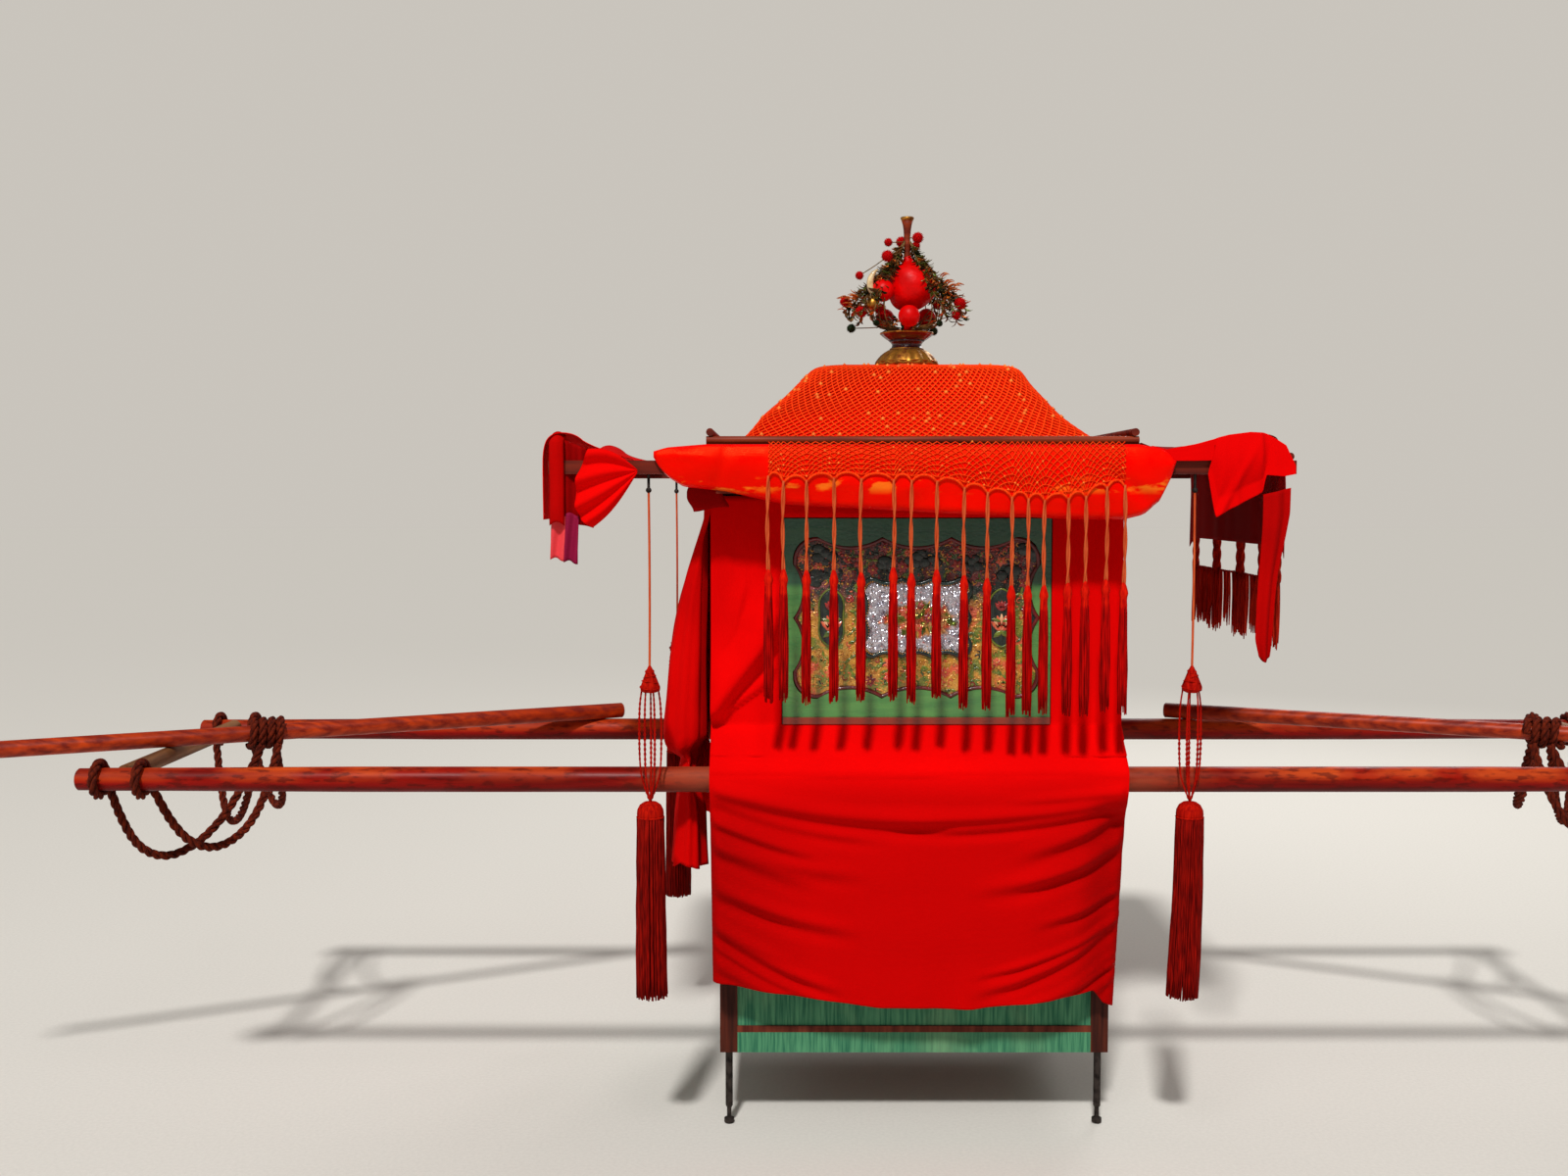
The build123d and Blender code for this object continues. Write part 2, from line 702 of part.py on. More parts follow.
# Tassels
def tassel_hooks():
    """Iron hooks under the beams, each ending in a small ring plate."""
    hooks = []
    for sx, sy in CORNERS:
        x, y = sx * LONG_TASSEL_X, sy * BEAM_Y
        stem = Pos(x, y, TOP_Z - HOOK_LENGTH / 2) * Cylinder(HOOK_RADIUS, HOOK_LENGTH)
        eye = Pos(x, y, TOP_Z - HOOK_LENGTH - HOOK_RADIUS) * Sphere(HOOK_RADIUS * 2)
        hooks.append(stem + eye)
    return hooks


def tassel_strings():
    """Every string of a long tassel by its name, from the hook to the tassel's knot."""
    strings = {}
    top = TOP_Z - HOOK_LENGTH - 3 * HOOK_RADIUS + STRING / 5
    for sx, sy in CORNERS:
        name = f"{'front' if sx > 0 else 'rear'}_{'far' if sy > 0 else 'near'}_tassel_string"
        x, y = sx * LONG_TASSEL_X, sy * BEAM_Y
        middle = (top + LONG_TASSEL_TOP) / 2
        route = [(x, y, top), (x + STRING * 0.4, y + STRING * 0.2, middle), (x, y, LONG_TASSEL_TOP)]
        strings[name] = [tube(route, STRING, name)]
    return strings


def long_tassels():
    """A knot, an open stretch of looped strands, a cap and a long skirt of threads."""
    r = LONG_TASSEL_RADIUS
    cap = SHAFT_Z - SHAFT_RADIUS - LONG_TASSEL_CAP_DROP
    open_length = LONG_TASSEL_TOP - cap
    profile = [
        (0, LONG_TASSEL_TOP),
        (r * 0.29, LONG_TASSEL_TOP),
        (r * 0.43, LONG_TASSEL_TOP - r * 0.64),
        (r * 0.32, LONG_TASSEL_TOP - r * 1.7),
        (r * 0.75, LONG_TASSEL_TOP - open_length / 3),
        (r * 0.75, cap + open_length / 4),
        (r * 0.32, cap + r * 0.2),
        (r * 0.79, cap - r * 0.2),
        (r, cap - r * 1.2),
        (r * 0.86, cap - r * 1.6),
        (r * 0.96, cap - r * 2.9),
        (r, LONG_TASSEL_BOTTOM),
        (0, LONG_TASSEL_BOTTOM),
    ]
    tassel = turned(profile)
    return [Pos(sx * LONG_TASSEL_X, sy * BEAM_Y, 0) * tassel for sx, sy in CORNERS]


def tassel(top, head, bottom):
    """A string with a head, a waist and a round skirt of threads."""
    r = TASSEL_RADIUS
    profile = [
        (0, top),
        (TASSEL_CORD_RADIUS, top),
        (TASSEL_CORD_RADIUS, head),
        (r * 0.8, head - r * 1.4),
        (r * 0.6, head - r * 2.6),
        (r, head - r * 4.7),
        (r, bottom),
        (0, bottom),
    ]
    return turned(profile)


def side_fringes():
    """The net's straight hem outside each valance, with a row of tassels on strings."""
    y = -TRAY_W - CLOTH - 2 * CLOTH_GAP
    reach = TASSEL_PITCH * TASSEL_COUNT / 2
    hem = block(
        (TASSEL_MIDDLE - reach, TASSEL_MIDDLE + reach), (y - NET_THICKNESS, y), (TASSEL_TOP, TRAY_TOP)
    )
    one = tassel(TASSEL_TOP + TASSEL_SEWN, TASSEL_HEAD, TASSEL_BOTTOM)
    first = TASSEL_MIDDLE - (TASSEL_COUNT - 1) / 2 * TASSEL_PITCH
    row = [Pos(first + k * TASSEL_PITCH, y - NET_THICKNESS / 2, 0) * one for k in range(TASSEL_COUNT)]
    return both_sides(hem + row)


def front_fringe():
    """A row of tassels on a strip under the awning's front edge."""
    x = BEAM_LENGTH / 2 + 2 * CLOTH + CLOTH_GAP
    top = BEAM_TOP - AWNING_DROP + FRINGE_OVERLAP
    low = top - FRINGE_DROP
    reach = FRONT_TASSEL_PITCH * FRONT_TASSEL_COUNT / 2
    strip = block((x, x + NET_THICKNESS), (-reach, reach), (low, top))
    one = tassel(low + TASSEL_SEWN, low - FRONT_CORD_LENGTH, FRONT_TASSEL_BOTTOM)
    first = -(FRONT_TASSEL_COUNT - 1) / 2 * FRONT_TASSEL_PITCH
    row = [
        Pos(x + NET_THICKNESS / 2, first + k * FRONT_TASSEL_PITCH, 0) * one
        for k in range(FRONT_TASSEL_COUNT)
    ]
    return [strip + row]


# Cloth
def near_cover():
    """The cloth round the window, which flares over the shaft and hangs to the hem."""
    inner = -HALF_W - CLOTH_GAP
    out = -SHAFT_Y - BRACKET_RADIUS - CLOTH_GAP
    route = [
        (inner, TOP_RAIL_Z - CLOTH),
        (inner, WAIST_Z - CLOTH),
        (out + SHOULDER_FOLD, SKIRT_SHOULDER + SHOULDER_FOLD),
        (out, SKIRT_SHOULDER - SHOULDER_FOLD),
        (out, SKIRT_HEM),
    ]
    outline = band(route, -CLOTH)
    half = HALF_L + COVER_OVERHANG
    cloth = along_x(outline, -half, half)
    width = WINDOW_WIDTH + 2 * CLOTH_GAP
    cut = block(
        (-width / 2, width / 2),
        (inner - CLOTH - 1, inner + 1),
        (WAIST_Z - 1, WINDOW_Z + WINDOW_HEIGHT / 2 + CLOTH_GAP),
    )
    return cloth - cut


def rear_curtain():
    """A drape behind the cabin that bellies out, is tied in above the shafts, and ends in a tail."""
    x = -HALF_L - CLOTH_GAP
    top, belly, tie = TOP_RAIL_Z - CLOTH, SHAFT_Z + REAR_BELLY_RISE, SHAFT_Z + REAR_TIE_RISE
    route = [
        (x, top),
        (x - REAR_BELLY * 0.27, (top + belly) / 2),
        (x - REAR_BELLY, belly),
        (x - REAR_BELLY * 0.72, tie),
        (x - REAR_BELLY * 0.49, tie - REAR_TAIL),
    ]
    half = REAR_CURTAIN_WIDTH / 2
    return [along_y(band(route, -CLOTH), -half, half)]


def door_x():
    return HALF_L + HEM_BAR_CLEARANCE + HEM_BAR_RADIUS


def curtain_rod():
    """The door's rod on the front rail, held by a block at each end."""
    x = door_x()
    half = DOOR_WIDTH / 2 + DOOR_ROD_OVERHANG
    z = TOP_RAIL_Z + TOP_RAIL_HEIGHT / 2
    rod = rod_along_y(x, z, half, ROD_RADIUS)
    for s in (-1, 1):
        y = sorted((s * half, s * (half - BOARD)))
        rod += block((HALF_L, x), y, (z - ROD_RADIUS, z + ROD_RADIUS))
    return [rod]


def door_curtain():
    x, half = door_x(), DOOR_WIDTH / 2
    top = TOP_RAIL_Z + TOP_RAIL_HEIGHT / 2 - ROD_RADIUS - FIT
    low = DOOR_HEM + HEM_BAR_RADIUS + FIT
    return [block((x - CLOTH / 2, x + CLOTH / 2), (-half, half), (low, top))]


def hem_bar():
    return [rod_along_y(door_x(), DOOR_HEM, DOOR_WIDTH / 2, HEM_BAR_RADIUS)]


def valances():
    """Cloth hanging outside each beam from the tray's rim, its ends lifted."""
    y = -TRAY_W - CLOTH_GAP
    outline = [(x * TRAY_LENGTH / 2, TRAY_TOP - drop * VALANCE_DEPTH) for x, drop in VALANCE]
    return both_sides(along_y(outline, y - CLOTH, y))


def front_awning():
    """Cloth from the front eave rod over the front end rod, with a flap hanging from it."""
    rod_x = BEAM_LENGTH / 2 - END_ROD_INSET
    over = BEAM_TOP + 2 * ROD_RADIUS + 2 * FIT
    tray_x = TRAY_LENGTH / 2 + CLOTH_GAP
    route = [
        (tray_x, TRAY_TOP + ROD_RADIUS),
        (tray_x + (rod_x - tray_x) * 0.3, TRAY_TOP - CLOTH),
        (rod_x, over),
        (rod_x + CLOTH_TURN * 0.64, over - CLOTH),
        (rod_x + CLOTH_TURN, over - 6 * CLOTH),
        (rod_x + CLOTH_TURN, BEAM_TOP - AWNING_DROP),
    ]
    return [along_y(band(route, CLOTH), -AWNING_WIDTH / 2, AWNING_WIDTH / 2)]


def rear_cloth():
    """Cloth thrown over the rear end rod."""
    rod_x = -BEAM_LENGTH / 2 + END_ROD_INSET
    over = BEAM_TOP + 2 * ROD_RADIUS + 2 * FIT
    route = [
        (rod_x - CLOTH_TURN, BEAM_TOP - REAR_CLOTH_DROP),
        (rod_x - CLOTH_TURN, over - 6 * CLOTH),
        (rod_x - CLOTH_TURN / 2, over - CLOTH),
        (rod_x, over),
        (rod_x + REAR_CLOTH_RUN * 0.4, over + CLOTH_GAP),
        (rod_x + REAR_CLOTH_RUN, BEAM_TOP + CLOTH),
    ]
    return [along_y(band(route, CLOTH), -AWNING_WIDTH / 2, AWNING_WIDTH / 2)]


def sided(name, solid):
    """A near piece and its far twin, as two nodes."""
    near, far = both_sides(solid)
    return {f"near_{name}": [near], f"far_{name}": [far]}


def nodes():
    """Every node's solids by its name."""
    lower_z = (FLOOR_TOP, WAIST_Z - WAIST_HEIGHT)
    return {
        "iron_feet": iron_feet(),
        "floor_rails": floor_rails(),
        "floor_board": floor_board(),
        "corner_posts": corner_posts(),
        "waist_rails": waist_rails(),
        "top_side_rails": top_side_rails(),
        "top_cross_rails": top_cross_rails(),
        "lower_panels": [*both_sides(side_board(lower_z)), end_board(-1, lower_z)],
        "front_step_board": [end_board(1, (FLOOR_TOP, FLOOR_TOP + STEP_HEIGHT))],
        "upper_walls": [*both_sides(near_upper_wall()), end_board(-1, (WAIST_Z, TOP_RAIL_Z))],
        **sided("window_frame", near_window_frame()),
        **sided("window_panel", near_window_panel()),
        "seat_box": seat_box(),
        "seat_cushion": seat_cushion(),
        "eave_beams": eave_beams(),
        "eave_tray": eave_tray(),
        "eave_side_rods": eave_side_rods(),
        "cross_rods": eave_cross_rods() + end_rods(),
        "roof_shell": roof_shell(),
        "roof_net": roof_net(),
        "finial_base": finial_base(),
        "finial_ball": finial_ball(),
        "finial_spire": finial_spire(),
        "finial_spray": finial_spray(),
        **sided("shaft", near_shaft()),
        "shaft_brackets": shaft_brackets(),
        "crossbars": crossbars(),
        "shoulder_poles": shoulder_poles(),
        "pole_lashings": pole_lashings(),
        "shaft_lashings": shaft_lashings(),
        **slings(),
        "tassel_hooks": tassel_hooks(),
        **tassel_strings(),
        "long_tassels": long_tassels(),
        "side_fringes": side_fringes(),
        "front_fringe": front_fringe(),
        **sided("cover", near_cover()),
        "rear_curtain": rear_curtain(),
        "curtain_rod": curtain_rod(),
        "door_curtain": door_curtain(),
        "hem_bar": hem_bar(),
        "valances": valances(),
        "front_awning": front_awning(),
        "rear_cloth": rear_cloth(),
    }


os.makedirs("parts", exist_ok=True)
for node_name, solids in nodes().items():
    whole = solids[0] if len(solids) == 1 else Compound(children=solids)
    whole.label = node_name
    export_step(whole, f"parts/{node_name}.step")
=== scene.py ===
# The looks of a bridal sedan chair: cloth, net, tassels, ropes, finial, painted relief and worn paint,
# round its solid frame. Metres. +X is the front, -Y the near side, +Z up.
import math
import random

import bpy
import numpy as np
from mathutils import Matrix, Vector, noise


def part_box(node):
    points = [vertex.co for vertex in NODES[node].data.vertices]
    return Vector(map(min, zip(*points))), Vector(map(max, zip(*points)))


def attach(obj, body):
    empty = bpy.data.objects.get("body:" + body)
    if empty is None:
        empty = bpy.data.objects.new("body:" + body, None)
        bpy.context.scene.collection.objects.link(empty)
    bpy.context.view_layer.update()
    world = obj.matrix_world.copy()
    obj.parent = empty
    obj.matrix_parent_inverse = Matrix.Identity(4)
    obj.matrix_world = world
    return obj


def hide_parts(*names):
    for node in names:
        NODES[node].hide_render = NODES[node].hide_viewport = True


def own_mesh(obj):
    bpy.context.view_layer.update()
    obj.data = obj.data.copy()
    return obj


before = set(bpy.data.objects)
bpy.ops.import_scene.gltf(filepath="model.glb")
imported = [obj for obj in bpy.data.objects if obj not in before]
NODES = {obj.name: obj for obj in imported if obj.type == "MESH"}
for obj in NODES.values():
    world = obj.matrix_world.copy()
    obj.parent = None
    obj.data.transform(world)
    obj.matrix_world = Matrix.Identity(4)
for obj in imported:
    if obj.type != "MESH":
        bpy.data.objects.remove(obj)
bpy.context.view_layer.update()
LOW, HIGH = 0, 1
SIDES = (("near", -1), ("far", 1))
ENDS = (("rear", -1), ("front", 1))


def edge(node, axis, end):
    """One face of a solid's box: axis 0, 1 or 2, and LOW or HIGH."""
    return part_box(node)[end][axis]


# Places read from the solid frame
COVER_HALF = edge("near_cover", 0, HIGH)
COVER_TOP = edge("near_cover", 2, HIGH)
SKIRT_Y = -edge("near_cover", 1, LOW)
WINDOW_HALF = edge("near_window_frame", 0, HIGH)
WINDOW_LOW, WINDOW_TOP = (edge("near_window_frame", 2, end) for end in (LOW, HIGH))
PANEL_FACE = -edge("near_window_panel", 1, LOW)
PANEL_HALF = edge("near_window_panel", 0, HIGH)
PANEL_LOW, PANEL_TOP = (edge("near_window_panel", 2, end) for end in (LOW, HIGH))
PANEL_Z = (PANEL_LOW + PANEL_TOP) / 2
TRAY_HALF, TRAY_Y, TRAY_TOP = (edge("eave_tray", axis, HIGH) for axis in range(3))
ROOF_LOW = edge("roof_shell", 2, LOW)
SHAFT_Y, SHAFT_Z = ((edge("far_shaft", axis, LOW) + edge("far_shaft", axis, HIGH)) / 2 for axis in (1, 2))
BEAM_HALF_WIDTH = 0.014
BEAM_Y = edge("eave_beams", 1, HIGH) - BEAM_HALF_WIDTH
HOOK_HALF_WIDTH = 0.006
TASSEL_X = edge("tassel_hooks", 0, HIGH) - HOOK_HALF_WIDTH
STRING_TOP = edge("front_far_tassel_string", 2, HIGH)
LONG_BOTTOM, LONG_TOP = (edge("long_tassels", 2, end) for end in (LOW, HIGH))
CLOTH_THICK = 0.0014


# Small geometry

def smooth_line(points, count, rounds=3):
    """Evenly spaced points along a line of a fold or a profile, with its corners eased."""
    line = np.asarray(points, float)
    for _ in range(rounds):
        start, end = line[:-1], line[1:]
        cut = np.stack([start * 0.75 + end * 0.25, start * 0.25 + end * 0.75], axis=1)
        line = np.vstack([line[:1], cut.reshape(-1, line.shape[1]), line[-1:]])
    run = np.concatenate([[0], np.cumsum(np.linalg.norm(np.diff(line, axis=0), axis=1))])
    even = np.linspace(0, run[-1], count)
    return np.stack([np.interp(even, run, line[:, k]) for k in range(line.shape[1])], axis=1)


def ease(low, high, value):
    """0 below low, 1 above high, and a smooth rise between."""
    share = np.clip((value - low) / (high - low), 0, 1)
    return share * share * (3 - 2 * share)


def along_table(value, table):
    """The columns of a table read at a value of its first column."""
    first, *others = zip(*table)
    return [float(np.interp(value, first, column)) for column in others]


def bell(value, middle, width):
    return np.exp(-(((value - middle) / width) ** 2))


def ripple(x, y, z=0.0):
    """Smooth noise from -1 to 1 at one point."""
    return noise.noise(Vector((x, y, z)))


def turns(count):
    """The angles of a full turn in equal steps."""
    return [math.tau * k / count for k in range(count)]


def around(x, y, turn, reach):
    """The place at a distance from another, in a direction."""
    return x + reach * math.cos(turn), y + reach * math.sin(turn)


def circle(x, y, z, radius, count):
    """A level ring of points."""
    return [(*around(x, y, turn, radius), z) for turn in turns(count)]


def grid_faces(rows, columns, loop_rows=False, loop_columns=False, hole=None):
    """Four-sided faces over points listed row by row; hole(row, column) leaves a face out."""
    faces = []
    for r in range(rows if loop_rows else rows - 1):
        for c in range(columns if loop_columns else columns - 1):
            if hole and hole(r, c):
                continue
            r1, c1 = (r + 1) % rows, (c + 1) % columns
            faces.append((r * columns + c, r * columns + c1, r1 * columns + c1, r1 * columns + c))
    return faces


def capped(rows, columns):
    """Faces round a closed form, with its two ends."""
    last = (rows - 1) * columns
    ends = [tuple(range(columns))[::-1], tuple(range(last, last + columns))]
    return grid_faces(rows, columns, loop_columns=True) + ends


def crosswise(path):
    """Two directions across a path at each of its points, turning as little as they can."""
    tangent = np.gradient(path, axis=0)
    tangent /= np.linalg.norm(tangent, axis=1)[:, None]
    first = np.cross(tangent[0], (0, 0, 1) if abs(tangent[0][2]) < 0.9 else (1, 0, 0))
    across = [first / np.linalg.norm(first)]
    for t in tangent[1:]:
        side = across[-1] - t * (across[-1] @ t)
        across.append(side / np.linalg.norm(side))
    across = np.array(across)
    return across, np.cross(tangent, across)


class Shape:
    """Points, faces and their tones, gathered before they become one mesh."""

    def __init__(self):
        self.points, self.faces, self.tones = [], [], []

    def add(self, points, faces, tone=0):
        base = len(self.points)
        self.points += [tuple(map(float, p)) for p in points]
        self.faces += [tuple(base + k for k in face) for face in faces]
        self.tones += [tone] * len(faces)

    def tube(self, path, radius, sides=6, tone=0, closed=False):
        """A round tube along a path; radius is one number, or one for each point."""
        path = np.asarray(path, float)
        across, up = crosswise(path)
        radius = np.broadcast_to(radius, len(path))[:, None, None]
        turn = (np.arange(sides) * math.tau / sides)[None, :, None]
        ring = np.cos(turn) * across[:, None, :] + np.sin(turn) * up[:, None, :]
        faces = grid_faces(len(path), sides, True, True) if closed else capped(len(path), sides)
        self.add((path[:, None, :] + ring * radius).reshape(-1, 3), faces, tone)

    def twist(self, path, width, strands=3, lay=3.2, sides=7, tone=0, closed=False):
        """A rope: strands laid round a path, lay widths to the turn."""
        path = np.asarray(path, float)
        across, up = crosswise(path)
        run = np.concatenate([[0], np.cumsum(np.linalg.norm(np.diff(path, axis=0), axis=1))])
        turns = run / (lay * width) * math.tau
        if closed:
            turns *= math.tau * round(turns[-1] / (math.tau)) / turns[-1] * (1 - 1 / len(path))
        radius = width / 2 / (1 + 1 / math.sin(math.pi / strands)) * 1.04
        for k in range(strands):
            turn = (turns + k * math.tau / strands)[:, None]
            centre = path + (np.cos(turn) * across + np.sin(turn) * up) * (width / 2 - radius)
            self.tube(centre, radius, sides, tone, closed)

    def lathe(self, profile, centre, sides=16, tone=0, wave=0, lobes=0):
        """A turned form of (radius, height over the centre) pairs, its rim waved in lobes if asked for."""
        x, y, foot = centre
        rows = []
        for r, z in profile:
            for turn in turns(sides):
                reach = r * (1 + wave * math.cos(lobes * turn))
                rows.append((*around(x, y, turn, reach), foot + z))
        self.add(rows, capped(len(profile), sides), tone)

    def ball(self, centre, radius, tone=0, rings=7, sides=10, squeeze=(1, 1, 1)):
        """A round bead, squeezed along the axes if asked for."""
        rows = []
        for r in range(rings):
            tilt = math.pi * (r + 0.5) / rings
            for turn in turns(sides):
                step = (math.sin(tilt) * math.cos(turn), math.sin(tilt) * math.sin(turn), math.cos(tilt))
                rows.append([c + radius * s * q for c, s, q in zip(centre, step, squeeze)])
        self.add(rows, capped(rings, sides), tone)

    def mirrored(self):
        """The same shape on the other long side."""
        twin = Shape()
        twin.points = [(x, -y, z) for x, y, z in self.points]
        twin.faces = [face[::-1] for face in self.faces]
        twin.tones = list(self.tones)
        return twin

    def piece(self, name, looks, slot=None, replaces=(), thick=0, body="chair", smooth=True):
        """The gathered shape as one object that rides on a body."""
        mesh = bpy.data.meshes.new(name)
        mesh.from_pydata(self.points, [], self.faces)
        mesh.polygons.foreach_set("material_index", self.tones)
        mesh.polygons.foreach_set("use_smooth", [smooth] * len(self.faces))
        for look in looks if isinstance(looks, (list, tuple)) else [looks]:
            mesh.materials.append(look)
        mesh.validate()
        made = bpy.data.objects.new(name, mesh)
        bpy.context.scene.collection.objects.link(made)
        if thick:
            shell = made.modifiers.new("thickness", "SOLIDIFY")
            shell.thickness = thick
            shell.offset = 0
            settle(made)
        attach(made, body)
        if replaces:
            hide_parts(*replaces)
        return made


def settle(made):
    """Applies an object's modifiers to its mesh."""
    view = bpy.context.evaluated_depsgraph_get()
    mesh = bpy.data.meshes.new_from_object(made.evaluated_get(view))
    made.modifiers.clear()
    made.data = mesh


# Materials

THREAD_PITCH = 0.003


def srgb(red, green, blue):
    """A colour as it shows on screen, 0 to 255, in the shader's own units."""
    return tuple((v / 255) ** 2.2 for v in (red, green, blue)) + (1,)


class Look:
    """A material, with short calls for the nodes that feed its shader."""

    def __init__(self, name, **sockets):
        self.made = bpy.data.materials.new(name)
        self.made.use_nodes = True
        self.tree = self.made.node_tree
        self.shader = self.tree.nodes["Principled BSDF"]
        for socket, value in sockets.items():
            self.shader.inputs[socket.replace("_", " ")].default_value = value

    def add(self, kind, inputs=None, **settings):
        node = self.tree.nodes.new(kind)
        for key, value in settings.items():
            setattr(node, key, value)
        for key, value in (inputs or {}).items():
            if isinstance(value, bpy.types.NodeSocket):
                self.tree.links.new(value, node.inputs[key])
            else:
                node.inputs[key].default_value = value
        return node

    def where(self):
        return self.add("ShaderNodeTexCoord").outputs["Object"]

    def vector(self, kind, *inputs):
        return self.add("ShaderNodeVectorMath", dict(enumerate(inputs)), operation=kind).outputs

    def stretched(self, scale):
        return {"Vector": self.vector("MULTIPLY", self.where(), scale)[0]}

    def noise(self, scale, stretch=(1, 1, 1), detail=4):
        inputs = {**self.stretched(stretch), "Scale": scale, "Detail": detail}
        return self.add("ShaderNodeTexNoise", inputs).outputs["Fac"]

    def cells(self, scale, stretch=(1, 1, 1)):
        inputs = {**self.stretched(stretch), "Scale": scale}
        return self.add("ShaderNodeTexVoronoi", inputs).outputs["Distance"]

    def threads(self):
        """Crossing threads: waves along the three axes, added up."""
        turn = math.tau / THREAD_PITCH
        waves = self.vector("SINE", self.vector("MULTIPLY", self.where(), (turn, turn, turn))[0])
        return self.vector("DOT_PRODUCT", self.vector("ABSOLUTE", waves[0])[0], (1, 1, 1))["Value"]

    def axis(self, name):
        return self.add("ShaderNodeSeparateXYZ", {0: self.where()}).outputs[name]

    def height(self):
        """How high a point lies, in metres."""
        return self.axis("Z")

    def along(self):
        """How far forward or back a point lies, in metres."""
        return self.math("ABSOLUTE", self.axis("X"))

    def math(self, kind, a, b=0.0):
        return self.add("ShaderNodeMath", {0: a, 1: b}, operation=kind).outputs[0]

    def times(self, a, b):
        return self.math("MULTIPLY", a, b)

    def between(self, value, low, high, to_low=0.0, to_high=1.0):
        inputs = {"Value": value, "From Min": low, "From Max": high, "To Min": to_low, "To Max": to_high}
        return self.add("ShaderNodeMapRange", inputs).outputs[0]

    def mix(self, share, a, b):
        """A share of colour b over colour a; a colour is a socket, or three numbers as on screen."""
        a, b = (srgb(*colour) if isinstance(colour, tuple) else colour for colour in (a, b))
        return self.add("ShaderNodeMix", {0: share, 6: a, 7: b}, data_type="RGBA").outputs[2]

    def blend(self, value, low, high, a, b, most=1.0):
        """Colour a where a value is low, and up to a share of colour b where it is high."""
        return self.mix(self.between(value, low, high, 0.0, most), a, b)

    def paint(self, colour):
        self.tree.links.new(colour, self.shader.inputs["Base Color"])

    def rough(self, value, low, high, to_low, to_high):
        self.tree.links.new(self.between(value, low, high, to_low, to_high), self.shader.inputs["Roughness"])

    def bump(self, height, distance, strength=0.6):
        """A bump on top of those already there."""
        normal = self.shader.inputs["Normal"]
        below = {"Normal": normal.links[0].from_socket} if normal.is_linked else {}
        inputs = {"Height": height, "Distance": distance, "Strength": strength, **below}
        self.tree.links.new(self.add("ShaderNodeBump", inputs).outputs[0], normal)
        return self


def cloth_look(name, colour, shade, roughness=0.9, low=None, wear_and_shade=None):
    """Plain woven cotton: threads, slubs, and dye that is uneven over large and small patches. When asked, it
    is also darker low down and towards a skirt's lower ends, as painted shade.
    """
    look = Look(name, Roughness=roughness, Specular_IOR_Level=0.04)
    slub = look.noise(90, (1, 1, 6))
    dyed_and_shaded = look.blend(look.noise(3.2, detail=6), 0.35, 0.7, colour, shade)
    if low:
        # Painted shade: darker low on a skirt, where less light falls.
        dyed_and_shaded = look.blend(look.height(), 0.80, 0.74, dyed_and_shaded, low)
        # Painted shade: darker towards the lower ends of a skirt, where the cloth turns away from the light.
        corner = look.between(look.along(), 0.22, 0.42, 0, 0.7)
        dyed_and_shaded = look.mix(look.times(corner, look.between(look.height(), 0.76, 0.66)), dyed_and_shaded, wear_and_shade)
    look.paint(look.blend(slub, 0.5, 0.8, dyed_and_shaded, shade, 0.35))
    look.bump(look.threads(), 0.0003, 0.4).bump(slub, 0.0005, 0.4).bump(look.noise(14, detail=3), 0.0025, 0.3)
    return look.made


def sateen_look():
    """Bright sateen on the valances: the same weave, with painted orange highlights along the puffs."""
    look = Look("red_sateen", Roughness=0.3, Specular_IOR_Level=0.25, Specular_Tint=(1, 0.3, 0.03, 1))
    dyed_and_shaded = look.blend(look.noise(4, detail=5), 0.35, 0.7, (255, 4, 3), (236, 3, 2))
    # Painted highlight: orange patches in a band along the puffs, where the light gleams on the sateen.
    puff = look.between(look.noise(15, (1, 1, 2.4), detail=5), 0.53, 0.60)
    level = look.times(look.between(look.height(), 1.385, 1.40), look.between(look.height(), 1.424, 1.412))
    look.paint(look.mix(look.times(puff, level), dyed_and_shaded, (255, 112, 30)))
    look.rough(look.noise(30, detail=4), 0.35, 0.65, 0.24, 0.45)
    look.bump(look.threads(), 0.0002, 0.4).bump(look.noise(22, detail=3), 0.005, 0.35)
    return look.made


def thread_look(name, colour, shade, scale=260):
    """Silk or cotton strands: fine lines along their drop, lighter and darker."""
    look = Look(name, Roughness=0.85, Specular_IOR_Level=0.06)
    line = look.noise(scale, (1, 1, 0.08))
    look.paint(look.blend(line, 0.35, 0.68, shade, colour))
    return look.bump(line, 0.0006).made


def rope_look(name, colour, shade):
    look = Look(name, Roughness=0.9, Specular_IOR_Level=0.15)
    fibre = look.noise(160, (1, 1, 0.35), detail=6)
    wear_and_shade = look.blend(fibre, 0.35, 0.7, shade, colour)
    look.paint(look.blend(look.noise(9, detail=5), 0.45, 0.75, wear_and_shade, shade, 0.6))
    return look.bump(fibre, 0.0012).made


def wood_look(name, colour, shade, axis=0, gloss=0.55):
    """Bare or stained wood with its grain along one axis."""
    look = Look(name, Roughness=gloss, Specular_IOR_Level=0.2)
    grain = look.noise(70, tuple(0.06 if k == axis else 1 for k in range(3)), detail=7)
    grained = look.blend(grain, 0.35, 0.68, shade, colour)
    look.paint(look.blend(look.noise(5, detail=5), 0.42, 0.72, grained, shade, 0.5))
    look.rough(grain, 0.3, 0.7, gloss + 0.15, gloss - 0.1)
    return look.bump(grain, 0.0008).made


